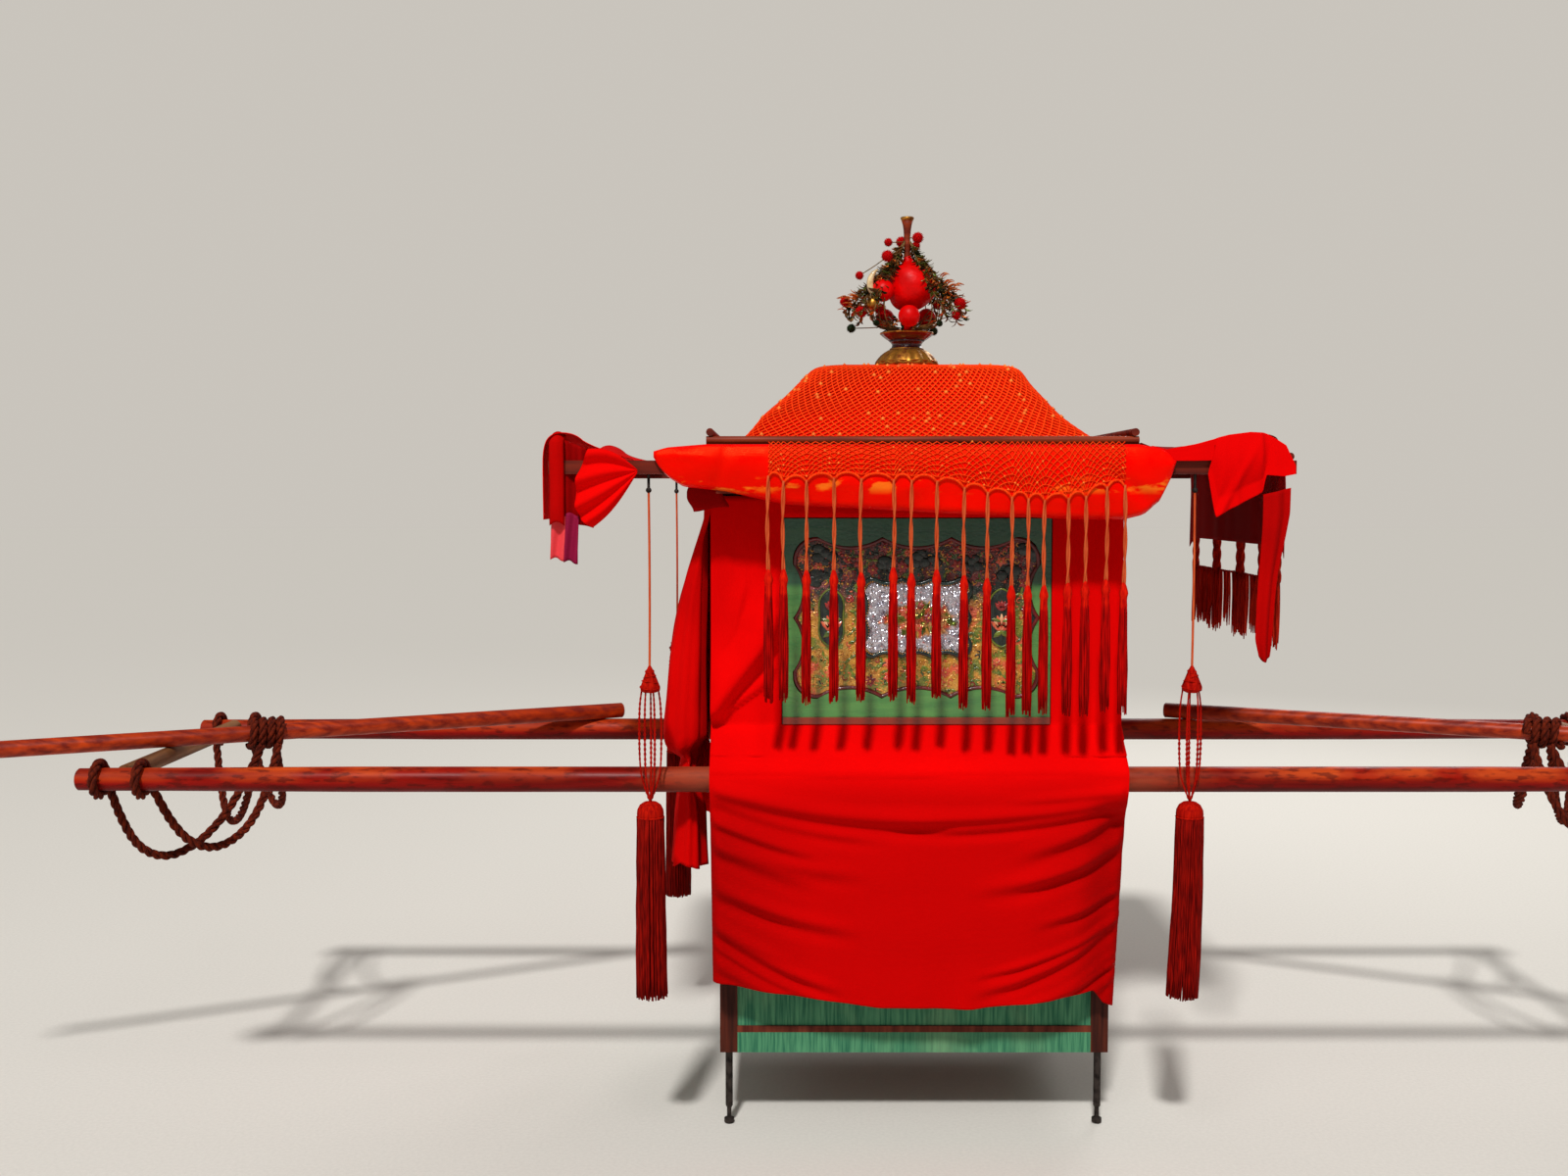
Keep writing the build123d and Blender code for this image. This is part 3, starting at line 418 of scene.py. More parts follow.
def lacquer_look():
    """Red lacquer: lighter orange-brown in patches along the top, as wear and painted highlight; darker
    underneath, as painted shade; scuffed dark, and rubbed pink near the cabin.
    """
    look = Look("worn_red_lacquer", Roughness=0.4, Specular_IOR_Level=0.12)
    streak = look.noise(34, (0.06, 1, 1), detail=8)
    patch = look.noise(11, (0.5, 1, 1), detail=8)
    fine = look.noise(90, (0.3, 1, 1), detail=6)
    lacquer = look.blend(streak, 0.38, 0.62, (104, 10, 5), (152, 18, 9))
    # Painted shade: darker on the underside of the shaft.
    lacquer = look.blend(look.height(), SHAFT_Z - 0.002, SHAFT_Z - 0.018, lacquer, (78, 8, 5), 0.6)
    # Lighter along the top: wear, and a painted highlight.
    upper = look.between(look.height(), SHAFT_Z - 0.006, SHAFT_Z + 0.014)
    wear_and_highlight = look.times(upper, look.between(patch, 0.40, 0.56, 0.1, 1))
    wear_and_shade = look.mix(wear_and_highlight, lacquer, look.blend(streak, 0.4, 0.6, (150, 42, 14), (196, 72, 24)))
    scuffed = look.blend(fine, 0.52, 0.64, wear_and_shade, (82, 16, 8), 0.7)
    rubbed = look.times(look.between(look.along(), 0.64, 0.46), look.between(patch, 0.42, 0.56, 0.15, 0.8))
    look.paint(look.mix(rubbed, scuffed, (146, 66, 46)))
    look.rough(patch, 0.4, 0.62, 0.36, 0.62)
    return look.bump(streak, 0.001, 0.5).bump(fine, 0.0006, 0.5).made


def green_look():
    """Green gloss paint on the windows: brushed and chipped, darkened higher up by a painted shadow of the
    eave, with a red-brown sill.
    """
    look = Look("green_paint", Roughness=0.3, Coat_Weight=0.25, Coat_Roughness=0.15)
    brushed = look.noise(60, (0.15, 1, 1), detail=5)
    paint = look.blend(brushed, 0.3, 0.7, (74, 128, 66), (98, 152, 78))
    aged_and_shadowed = look.blend(look.noise(7, detail=4), 0.45, 0.75, paint, (56, 104, 66), 0.5)
    # Painted shadow: dark teal above the line where the eave's shadow falls.
    aged_and_shadowed = look.blend(look.height(), 1.186, 1.197, aged_and_shadowed, (16, 56, 58), 0.75)
    chip = look.math("GREATER_THAN", look.noise(46, detail=8), 0.71)
    chipped = look.mix(chip, aged_and_shadowed, (138, 120, 70))
    look.paint(look.blend(look.height(), WINDOW_LOW + 0.0145, WINDOW_LOW + 0.0155, (140, 46, 24), chipped))
    look.rough(brushed, 0.3, 0.7, 0.2, 0.4)
    return look.bump(look.noise(150, detail=3), 0.0014, 0.6).bump(brushed, 0.0006).made


def faded_look():
    """Thin green paint on the base boards and the feet of the posts, streaked downwards; bare wood above."""
    look = Look("faded_green_paint", Roughness=0.6, Specular_IOR_Level=0.2)
    streak = look.noise(190, (1, 1, 0.05), detail=6)
    paint = look.blend(streak, 0.36, 0.64, (46, 104, 78), (84, 146, 106))
    wear_and_shade = look.blend(look.noise(9, (1, 1, 0.5), detail=5), 0.5, 0.74, paint, (124, 162, 118), 0.5)
    wood = look.blend(streak, 0.35, 0.65, (84, 26, 18), (112, 46, 28))
    look.paint(look.blend(look.height(), 0.885, 0.895, wear_and_shade, wood))
    look.rough(streak, 0.3, 0.7, 0.72, 0.5)
    return look.bump(streak, 0.0006).made


def metal_look(name, colour, dirt, metallic, roughness, grain):
    """Metal with dirt in its hollows and uneven polish."""
    look = Look(name, Metallic=metallic, Roughness=roughness)
    patch = look.noise(grain, detail=6)
    look.paint(look.blend(patch, 0.45, 0.68, colour, dirt))
    look.rough(patch, 0.4, 0.7, roughness, min(1, roughness + 0.35))
    return look.bump(patch, 0.0012, 0.5).made


def gloss_look(name, colour, shade, metallic=0.0, roughness=0.22, scale=55, coat=0.6, specular=0.5):
    """Glossy painted or glazed relief with small dents."""
    shine = {"Specular_IOR_Level": specular, "Coat_Weight": coat, "Coat_Roughness": 0.1}
    look = Look(name, Metallic=metallic, Roughness=roughness, **shine)
    look.paint(look.blend(look.noise(scale, detail=5), 0.4, 0.66, colour, shade))
    return look.bump(look.noise(scale * 4, detail=4), 0.0016, 0.7).made


def painted_look():
    """Glossy paint over raised work: ochre, olive and coral, turned to maroon and dark green higher up as a
    painted shadow of the eave.
    """
    look = Look("gilded_ground", Roughness=0.3, Metallic=0.15, Coat_Weight=0.6, Coat_Roughness=0.1)
    broad = look.noise(30, detail=3)
    other = look.noise(19, (1, 1, 1.4), detail=4)
    low = look.blend(broad, 0.46, 0.54, (212, 150, 58), (126, 130, 46))
    low = look.blend(other, 0.57, 0.64, low, (224, 98, 58))
    # Painted shadow: darker colours for the upper part of the panel, which the eave shades, blended in above
    # the middle.
    high = look.blend(broad, 0.46, 0.54, (112, 50, 48), (40, 48, 40))
    high = look.blend(other, 0.58, 0.66, high, (152, 74, 76))
    shown = look.blend(look.height(), PANEL_Z - 0.005, PANEL_Z + 0.055, low, high)
    speck = look.math("LESS_THAN", look.cells(210), 0.2)
    look.paint(look.mix(look.times(speck, 0.55), shown, (244, 206, 128)))
    return look.bump(look.cells(230), 0.0022, 0.8).bump(look.noise(60, detail=4), 0.003, 0.6).made


def foil_look():
    """Crumpled silver foil with a painted patch in its middle."""
    look = Look("silver_ground", Roughness=0.2, Metallic=0.8, Coat_Weight=0.3, Coat_Roughness=0.05)
    offset = look.vector("SUBTRACT", look.where(), (0.012, 0, PANEL_Z - 0.004))
    reach = look.vector("LENGTH", look.vector("MULTIPLY", offset[0], (12, 0, 26))[0])["Value"]
    wander = look.math("ADD", reach, look.between(look.noise(40, detail=5), 0.2, 0.8, -0.5, 0.5))
    patch = look.noise(46, detail=4)
    daub = look.blend(patch, 0.44, 0.54, (110, 122, 48), (226, 160, 100))
    daub = look.blend(look.noise(33, detail=3), 0.53, 0.60, daub, (232, 106, 76))
    silver = look.blend(patch, 0.45, 0.7, (228, 226, 234), (176, 172, 186))
    look.paint(look.blend(wander, 0.75, 1.0, daub, silver))
    return look.bump(look.cells(70), 0.006, 1.0).bump(look.cells(170, (1, 1, 0.6)), 0.003, 1.0).made


def fuzz_look(name, colour, shade):
    look = Look(name, Roughness=0.95, Specular_IOR_Level=0.1)
    patch = look.noise(400, detail=4)
    look.paint(look.blend(patch, 0.35, 0.7, shade, colour))
    return look.bump(patch, 0.001).made


def floor_look():
    look = Look("pale_floor", Roughness=0.9, Specular_IOR_Level=0.1)
    look.paint(look.blend(look.noise(120, detail=5), 0.3, 0.7, (226, 221, 212), (219, 214, 205)))
    return look.made


# The plain red cloth is painted darker low on its skirt and at the skirt's lower ends, as painted shade.
RED_CLOTH = cloth_look("red_cotton", (240, 3, 3), (216, 2, 4), low=(198, 2, 2), wear_and_shade=(150, 2, 2))
END_CLOTH = cloth_look("worn_red_cotton", (230, 10, 6), (198, 6, 5))
SWAG_CLOTH = sateen_look()
DEEP_CLOTH = cloth_look("deep_red_cotton", (188, 10, 7), (152, 6, 6))
# A darker copy of the red cloth, for cloth that lies in shade: painted shade.
SHADED_RED_CLOTH = cloth_look("red_cloth_painted_shade", (150, 9, 10), (112, 6, 8))
ROOF_CLOTH = cloth_look("bright_red_cotton", (255, 16, 5), (240, 8, 4))
PINK_CLOTH = cloth_look("pink_silk", (238, 78, 80), (220, 58, 68), roughness=0.6)
PURPLE_CLOTH = cloth_look("purple_silk", (150, 32, 66), (116, 20, 52), roughness=0.6)
NET_CORD = thread_look("net_cord", (255, 82, 26), (240, 44, 10), scale=420)
# Pale gold knots, partly gold thread and partly painted highlight.
GLINT = metal_look("gold_knot_painted_highlight", (255, 138, 44), (240, 96, 26), 0.2, 0.55, 90)
STRING = thread_look("orange_brown_cord", (214, 96, 54), (186, 70, 36), scale=380)
TASSEL = thread_look("tassel_thread", (204, 12, 6), (122, 6, 4))
TASSEL_HEAD = thread_look("tassel_head", (226, 34, 12), (184, 14, 6))
DARK_TASSEL = thread_look("dark_tassel_thread", (156, 22, 12), (86, 8, 5), scale=330)
FRINGE_THREAD = thread_look("fringe_thread", (206, 46, 24), (126, 18, 10), scale=330)
LONG_HEAD = thread_look("long_tassel_cap", (190, 28, 10), (140, 12, 6))
ROPE = rope_look("brown_red_rope", (122, 42, 18), (60, 18, 9))
LACQUER = lacquer_look()
GREEN = green_look()
FADED = faded_look()
FRAME_WOOD = wood_look("dark_frame_wood", (104, 44, 26), (52, 20, 12), axis=2)
BEAM_WOOD = wood_look("brown_beam_wood", (132, 44, 24), (76, 22, 12))
ROD_WOOD = wood_look("rod_wood", (150, 58, 26), (92, 28, 13))
BARE_WOOD = wood_look("bare_wood", (150, 102, 64), (92, 56, 32), axis=1, gloss=0.62)
POLE_WOOD = wood_look("shoulder_pole_lacquer", (196, 66, 22), (118, 30, 14), gloss=0.4)
INNER_WOOD = wood_look("inner_board_wood", (128, 60, 40), (80, 32, 22), axis=2, gloss=0.65)
IRON = metal_look("black_iron", (62, 54, 50), (30, 22, 20), 0.7, 0.55, 60)
GOLD = metal_look("antique_gold", (190, 132, 52), (110, 58, 24), 0.85, 0.36, 60)
DARK_GLAZE = gloss_look("dark_purple_glaze", (74, 12, 20), (36, 6, 16), coat=0.3)
RED_GLAZE = gloss_look("red_glaze", (232, 3, 3), (196, 2, 3), 0.0, 0.4, 26, coat=0.0, specular=0.12)
ORANGE_GLAZE = gloss_look("orange_red_glaze", (220, 60, 20), (180, 34, 14))
POMPOM = fuzz_look("red_pompom", (206, 12, 14), (146, 4, 8))
DARK_POMPOM = fuzz_look("dark_green_pompom", (48, 62, 36), (20, 26, 16))
WIRE = metal_look("wire_leaf", (120, 84, 36), (66, 56, 24), 0.2, 0.6, 90)
TINSEL = metal_look("tinsel", (226, 126, 40), (178, 62, 20), 0.5, 0.4, 120)
CREAM = gloss_look("cream_glaze", (232, 206, 158), (204, 170, 118), coat=0.3)
MAROON = gloss_look("maroon_moulding", (110, 12, 12), (76, 6, 8), roughness=0.35)
GROUND = painted_look()
SHADE_GROUND = gloss_look("dark_ground", (44, 56, 48), (28, 32, 32), 0.1, 0.3, 60)
LEAF = gloss_look("relief_green", (118, 132, 46), (62, 84, 40))
PETAL = gloss_look("relief_pink", (234, 112, 74), (206, 66, 48))
BLOOM = gloss_look("relief_red", (176, 54, 46), (112, 34, 40))
SCROLL = gloss_look("relief_gold", (230, 168, 76), (176, 110, 46), 0.35, 0.3, 80)
SILVER = foil_look()
PEACH = gloss_look("peach_paint", (240, 186, 138), (224, 132, 92))
TEAL = gloss_look("teal_outline", (44, 66, 60), (26, 40, 38), 0.2, 0.25, 60)


# Camera, floor and light

CAMERA_AT = (-0.285, -3.57, 1.385)
CAMERA_DOWN = math.radians(3.49)
LENS, SENSOR = 35.0, 36.0
FLOOR = 60


def lamp(name, at, target, size, power, kind="AREA"):
    """A soft lamp that points at a target: a square, or a wide sun whose size is its angle."""
    data = bpy.data.lights.new(name, kind)
    data.energy = power
    setattr(data, "angle" if kind == "SUN" else "size", size)
    made = bpy.data.objects.new(name, data)
    made.location = at
    made.rotation_euler = (Vector(target) - Vector(at)).to_track_quat("-Z", "Y").to_euler()
    bpy.context.scene.collection.objects.link(made)


def studio():
    """The camera, a wide pale floor, the lamps, and a world that lights less than it shows."""
    scene = bpy.context.scene
    scene.view_settings.view_transform = "Standard"
    data = bpy.data.cameras.new("camera")
    data.lens = LENS
    data.sensor_width = SENSOR
    camera = bpy.data.objects.new("camera", data)
    camera.location = CAMERA_AT
    camera.rotation_euler = (math.pi / 2 - CAMERA_DOWN, 0, 0)
    scene.collection.objects.link(camera)
    scene.camera = camera
    mesh = bpy.data.meshes.new("floor")
    corners = [(-FLOOR, -FLOOR, 0), (FLOOR, -FLOOR, 0), (FLOOR, FLOOR, 0), (-FLOOR, FLOOR, 0)]
    mesh.from_pydata(corners, [], [(0, 1, 2, 3)])
    mesh.materials.append(floor_look())
    floor = bpy.data.objects.new("floor", mesh)
    scene.collection.objects.link(floor)
    lamp("key", (-0.6, -3.2, 3.9), (0, 0, 0), 0.09, 2.5, "SUN")
    lamp("top", (-0.4, -2.4, 3.6), (0, 0, 1.3), 1.0, 14)
    lamp("fill", (-4.2, -2.6, 2.6), (0, 0, 1.0), 2.6, 11)
    lamp("back", (2.6, 4.4, 4.2), (0, 0, 1.0), 2.4, 90)
    scene.world = bpy.data.worlds.new("world")
    scene.world.use_nodes = True
    tree = scene.world.node_tree
    tree.nodes.clear()
    path = tree.nodes.new("ShaderNodeLightPath")
    both = tree.nodes.new("ShaderNodeMixShader")
    out = tree.nodes.new("ShaderNodeOutputWorld")
    tree.links.new(path.outputs["Is Camera Ray"], both.inputs[0])
    for slot, colour, strength in ((1, (1, 0.985, 0.96, 1), 0.2), (2, srgb(200, 195, 187), 1.0)):
        glow = tree.nodes.new("ShaderNodeBackground")
        glow.inputs["Color"].default_value = colour
        glow.inputs["Strength"].default_value = strength
        tree.links.new(glow.outputs[0], both.inputs[slot])
    tree.links.new(both.outputs[0], out.inputs[0])


studio()


# Cords

# Slack slings at the rear, which the front ones mirror: name, length, control points
SLINGS = [
    ("near_inner", 0.545, [
        (-1.470, -0.026, 0.802), (-1.478, -0.075, 0.704), (-1.508, -0.150, 0.618),
        (-1.560, -0.232, 0.594), (-1.618, -0.292, 0.660), (-1.655, -0.315, 0.775),
    ]),
    ("near_outer", 0.589, [
        (-1.503, -0.041, 0.802), (-1.542, -0.088, 0.690), (-1.606, -0.150, 0.598),
        (-1.672, -0.222, 0.572), (-1.722, -0.288, 0.645), (-1.745, -0.315, 0.775),
    ]),
    ("far_inner", 0.522, [
        (-1.497, 0.030, 0.802), (-1.502, 0.084, 0.706), (-1.524, 0.160, 0.624),
        (-1.570, 0.238, 0.600), (-1.618, 0.292, 0.664), (-1.655, 0.315, 0.775),
    ]),
    ("far_outer", 0.607, [
        (-1.530, 0.015, 0.802), (-1.572, 0.072, 0.684), (-1.626, 0.148, 0.586),
        (-1.684, 0.226, 0.562), (-1.726, 0.290, 0.640), (-1.745, 0.315, 0.775),
    ]),
]
ROPE_WIDTH, STRING_WIDTH = 0.020, 0.005


def cord_curve(name, points, bevel=0.0, resolution=40):
    """A smooth curve with a cord's route as its control points."""
    data = bpy.data.curves.new(name, "CURVE")
    data.dimensions = "3D"
    spline = data.splines.new("NURBS")
    spline.points.add(len(points) - 1)
    for point, at in zip(spline.points, points):
        point.co = (*at, 1)
    spline.order_u = 3
    spline.use_endpoint_u = True
    data.resolution_u = resolution
    data.bevel_depth = bevel
    made = bpy.data.objects.new(name, data)
    bpy.context.scene.collection.objects.link(made)
    return made


def cord_line(points):
    """The points of a route's smooth curve."""
    curve = cord_curve("route", points)
    mesh = bpy.data.meshes.new_from_object(curve)
    line = np.array([v.co for v in mesh.vertices], float)
    bpy.data.objects.remove(curve)
    return line


def slings():
    """Eight ropes of three strands, each from a pole's lashing to a ring on a shaft."""
    for end, sign in ENDS:
        for name, length, points in SLINGS:
            route = [(-sign * x, y, z) for x, y, z in points]
            line = cord_line(route)
            shape = Shape()
            shape.twist(line, ROPE_WIDTH)
            node = f"{end}_sling_{name}"
            made = shape.piece(f"{node}_rope", ROPE, "rope", [node])
            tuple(route[0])


def tassel_strings():
    """A thin cord from each hook down to the knot of its long tassel."""
    for end, sx in ENDS:
        for side, sy in SIDES:
            node = f"{end}_{side}_tassel_string"
            x, y = sx * TASSEL_X, sy * BEAM_Y
            middle = (STRING_TOP + LONG_TOP) / 2
            route = [(x, y, STRING_TOP), (x + 0.002, y + 0.001, middle), (x, y, LONG_TOP)]
            made = cord_curve(f"{node}_cord", route, STRING_WIDTH / 2)
            made.data.bevel_resolution = 3
            made.data.materials.append(STRING)
            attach(made, "chair")
            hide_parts(node)
            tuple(route[0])


slings()
tassel_strings()


# Lashings

POLE_INNER = Vector((0.7048, 0.3714, 0.8264))
POLE_OUTER = Vector((2.2953, -0.3821, 0.8264))
POLE_RADIUS, RING_RADIUS = 0.019, 0.0349
LASHING_TURNS, TURN_POINTS = 4, 44
RING_X = (1.655, 1.745)


def lashings():
    """Rope wound round the middle of each shoulder pole, and rope rings on the shafts' ends."""
    wound, rings = Shape(), Shape()
    for _, sign in ENDS:
        inner, outer = (Vector((sign * p.x, p.y, p.z)) for p in (POLE_INNER, POLE_OUTER))
        axis = (outer - inner).normalized()
        across = axis.cross(Vector((0, 0, 1))).normalized()
        up = across.cross(axis)
        path = []
        for k in range(LASHING_TURNS * TURN_POINTS - TURN_POINTS // 6):
            turn = math.tau * k / TURN_POINTS
            reach = (k / TURN_POINTS - LASHING_TURNS / 2) * ROPE_WIDTH * 0.98 + ROPE_WIDTH * 0.3
            spoke = across * math.cos(turn) + up * math.sin(turn)
            path.append((inner + outer) / 2 + axis * reach + spoke * (POLE_RADIUS + ROPE_WIDTH / 2))
        wound.twist(path, ROPE_WIDTH)
        for x in RING_X:
            for _, side in SIDES:
                ring = circle(side * SHAFT_Y, SHAFT_Z, sign * x, RING_RADIUS, TURN_POINTS)
                rings.twist([(x, y, z) for y, z, x in ring], ROPE_WIDTH, closed=True)
    wound.piece("pole_lashing_rope", ROPE, "rope", ["pole_lashings"])
    rings.piece("shaft_lashing_rope", ROPE, "rope", ["shaft_lashings"])


lashings()


# Covers round the windows

SKIRT_TOP, SKIRT_FOOT = 0.79, 0.30
# How far the skirt stands off the cover, and the radius at the cover's ends
SKIRT_STEP, BEND = 0.0914, 0.022
# Steps along a cover's turned ends
WING = (0.004, 0.009, 0.014, 0.019, 0.024, 0.029, 0.0346, 0.044, 0.056)
SIDE_COLUMNS, HOLE_COLUMNS = 29, 59
TOP_ROWS, HOLE_ROWS = 4, 60
# Hem of a cover along its length: X, height
HEM = [
    (-0.46, 0.350), (-0.28, 0.322), (-0.08, 0.293), (0.12, 0.291), (0.25, 0.304), (0.35, 0.318),
    (0.392, 0.324), (0.415, 0.290), (0.46, 0.268),
]
# Bold folds of a skirt: side, height at the edge, sag, width, depth and reach to the middle
BOLD_FOLDS = [
    (-1, 0.768, 0.064, 0.018, 0.0125, -0.2), (1, 0.748, 0.044, 0.015, 0.0130, -0.2),
    (-1, 0.742, 0.082, 0.012, 0.0060, 0.1), (1, 0.728, 0.050, 0.010, 0.0095, -0.05),
    (1, 0.765, 0.030, 0.010, 0.0060, 0.35),
]
# Creases that run down to the rear curtain's tie: width, depth, lean, then X and height from the foot
CREASES = (
    (0.036, 0.042, 0.75, (
        (-0.462, 0.890), (-0.428, 0.935), (-0.382, 0.998), (-0.345, 1.045), (-0.312, 1.092), (-0.285, 1.160),
    )),
    (0.012, 0.012, 0.6, ((-0.468, 0.88), (-0.430, 0.908), (-0.385, 0.938), (-0.335, 0.975), (-0.300, 1.02))),
    (0.013, 0.012, 0.6, ((-0.468, 0.90), (-0.440, 0.955), (-0.408, 1.03), (-0.388, 1.10), (-0.372, 1.19))),
)


def smiles(seed):
    """The sagging folds of a skirt: the bold ones, and ten finer ones from each side."""
    draw = random.Random(seed)
    folds = list(BOLD_FOLDS)
    for _, side in SIDES:
        for k in range(10):
            top = 0.712 - 0.042 * k + draw.uniform(-0.02, 0.02)
            sag = 0.105 + 0.006 * k + draw.uniform(-0.04, 0.02)
            width, depth = draw.uniform(0.008, 0.018), draw.uniform(0.003, 0.0105)
            folds.append((side, top, sag, width, depth, draw.uniform(0.05, 0.62)))
    return folds


def tie_creases(x, z):
    """How far the cover stands out in the creases that run down to where the rear curtain is tied."""
    out = 0.0
    for width, depth, lean, line in CREASES:
        places, heights = zip(*line)
        low, high = heights[0], heights[-1] + 0.05
        if low < z < high:
            away = (x - float(np.interp(z, heights, places))) * lean
            fade = ease(low, low + 0.03, z) * ease(high, high - 0.11, z)
            out = max(out, depth * bell(away, 0, width * (0.5 if away > 0 else 1.3)) * fade)
    return out


def cover_shape(seed):
    """The near cover: flat round the window, then over the shaft, then a skirt with sagging folds."""
    hole_half, hole_low, hole_top = WINDOW_HALF + 0.002, WINDOW_LOW - 0.001, WINDOW_TOP + 0.002
    flat_y = SKIRT_Y - SKIRT_STEP
    straight = COVER_HALF - BEND
    side = np.linspace(hole_half, straight, SIDE_COLUMNS + 1)
    wing = straight + np.array(WING)
    middle = np.linspace(-hole_half, hole_half, HOLE_COLUMNS + 1)
    spans = np.concatenate([-wing[::-1], -side[::-1][:-1], middle, side[1:], wing])
    upper = [(-flat_y, z) for z in np.linspace(COVER_TOP, hole_top, TOP_ROWS + 1)]
    upper += [(-flat_y, z) for z in np.linspace(hole_top, hole_low, HOLE_ROWS + 1)[1:]]
    route = [
        (-flat_y, hole_low), (-flat_y - 0.010, hole_low - 0.009), (-SKIRT_Y + 0.012, 0.818),
        (-SKIRT_Y, 0.795), (-SKIRT_Y + 0.014, SKIRT_FOOT),
    ]
    profile = upper + [tuple(p) for p in smooth_line(route, 150, 2)[1:]]
    folds = smiles(seed)
    points = []
    for y, z in profile:
        for s in spans:
            past = max(0.0, abs(s) - straight)
            turn = min(past / BEND, math.pi / 2)
            x = math.copysign(min(abs(s), straight) + BEND * math.sin(turn), s)
            back = BEND * (1 - math.cos(turn)) + max(0.0, past - BEND * math.pi / 2)
            out, high = y, z
            share = x / COVER_HALF
            if z < SKIRT_TOP:
                drop = (SKIRT_TOP - z) / (SKIRT_TOP - SKIRT_FOOT)
                high = SKIRT_TOP - drop * (SKIRT_TOP - along_table(x, HEM)[0])
                turned = ease(0.335, 0.425, s) ** 1.3 * ease(0.76, 0.68, z)
                x = x * (1 - (0.052 if x > 0 else 0.012) * drop) + 0.011 * turned
                out += 0.050 * turned - 0.007 * math.sin(drop * math.pi) * (1 - share * share)
                calm = 1 - 0.75 * ease(0, BEND, past)
                for way, top, sag, width, depth, reach in folds:
                    if way * share > reach:
                        fold = top - sag * (1 - share * share)
                        strength = depth * calm * ease(reach, reach + 0.3, way * share)
                        hollow = 0.8 * bell(high, fold - width * 1.6, width)
                        out -= strength * (bell(high, fold, width) - hollow)
                out -= 0.004 * ripple(x * 5, high * 9, seed) * ease(0, 0.2, drop)
                out -= 0.007 * ease(0.75, 1, drop) * ripple(x * 14, 3, seed)
            elif z > hole_low - 0.06:
                strip = ease(hole_half, hole_half + 0.05, abs(x))
                out -= (0.0085 if x > 0 else 0.004) * (0.6 + ripple(x * 22, high * 2.2, seed + 5)) * strip
                out -= 0.0015 * (1 + ripple(x * 30, high * 5, seed + 9))
            else:
                out -= 0.003 * ripple(x * 7, high * 12, seed + 3)
            if x < -0.26 and 0.80 < z < 1.26:
                out -= tie_creases(x, z)
            keep = 0.25 if z > 0.86 else 1 - bell(high, SHAFT_Z, 0.075)
            points.append((x, out + back * keep, high))
    rows = range(TOP_ROWS, TOP_ROWS + HOLE_ROWS)
    first = len(wing) + SIDE_COLUMNS
    columns = range(first, first + HOLE_COLUMNS)
    shape = Shape()
    shape.add(points, grid_faces(len(profile), len(spans), hole=lambda r, c: r in rows and c in columns))
    return shape


def covers():
    """The cloths over the long sides, each with the window cut out of it."""
    cover_shape(3).piece("near_cover_cloth", RED_CLOTH, "red_cloth", ["near_cover"], CLOTH_THICK)
    cover_shape(8).mirrored().piece("far_cover_cloth", RED_CLOTH, "red_cloth", ["far_cover"], CLOTH_THICK)


covers()


# Valances

SWAG_ENDS = (-0.552, 0.518)
# Outlines of a valance: X, height
SWAG_TOP = [
    (-0.552, 1.474), (-0.525, 1.482), (-0.445, 1.4885), (0.445, 1.4885), (0.495, 1.478), (0.518, 1.456),
]
SWAG_LOW = [
    (-0.552, 1.462), (-0.540, 1.440), (-0.520, 1.420), (-0.490, 1.402), (-0.405, 1.393), (-0.285, 1.366),
    (0.0, 1.350), (0.32, 1.335), (0.415, 1.335), (0.455, 1.345), (0.488, 1.372), (0.507, 1.412),
    (0.518, 1.450),
]
# Small puffs on it: X, height
PUFFS = ((-0.262, 1.408), (-0.163, 1.409), (-0.108, 1.407), (-0.024, 1.40), (-0.49, 1.468))
SWAG_Y = TRAY_Y + 0.0055


def swag_point(x, share, seed=0):
    """A point of the near valance: X, and the share of its drop from the top."""
    top, low = along_table(x, SWAG_TOP)[0], along_table(x, SWAG_LOW)[0]
    z = top + (low - top) * share
    taper = ease(SWAG_ENDS[0], -0.47, x) * ease(SWAG_ENDS[1], 0.44, x)
    puff = 0.012 * math.sin(math.pi * min(1, share * 1.12) ** 0.8) * (0.35 + 0.65 * taper)
    crease = 0.009 * bell((x - 0.43) * 0.75 + (z - 1.40) * 1.1, 0.0, 0.016) * ease(0.34, 0.42, x)
    crease += 0.005 * bell((x + 0.42) * 0.9 - (z - 1.42) * 0.3, 0.0, 0.010)
    folds = 0.004 * ripple(x * 5, z * 26, seed) * ease(0.05, 0.4, share)
    for at, high in PUFFS:
        folds += 0.0045 * bell(x, at, 0.022) * bell(z, high, 0.012)
    hem = 0.010 * ease(0.93, 1, share)
    return x, -(SWAG_Y + puff + folds - crease - hem), z


def valances():
    """Puffed cloth along each eave, with rounded ends."""
    spans, rows = np.linspace(*SWAG_ENDS, 110), np.linspace(0, 1, 19)
    for name, sign in SIDES:
        shape = Shape()
        points = [swag_point(x, share, sign) for share in rows for x in spans]
        shape.add(points, grid_faces(len(rows), len(spans)))
        shape, replaced = (shape, ["valances"]) if name == "near" else (shape.mirrored(), ())
        made = shape.piece(f"{name}_valance_cloth", SWAG_CLOTH, "red_cloth", replaced, CLOTH_THICK)


valances()


# Roof cloth and net

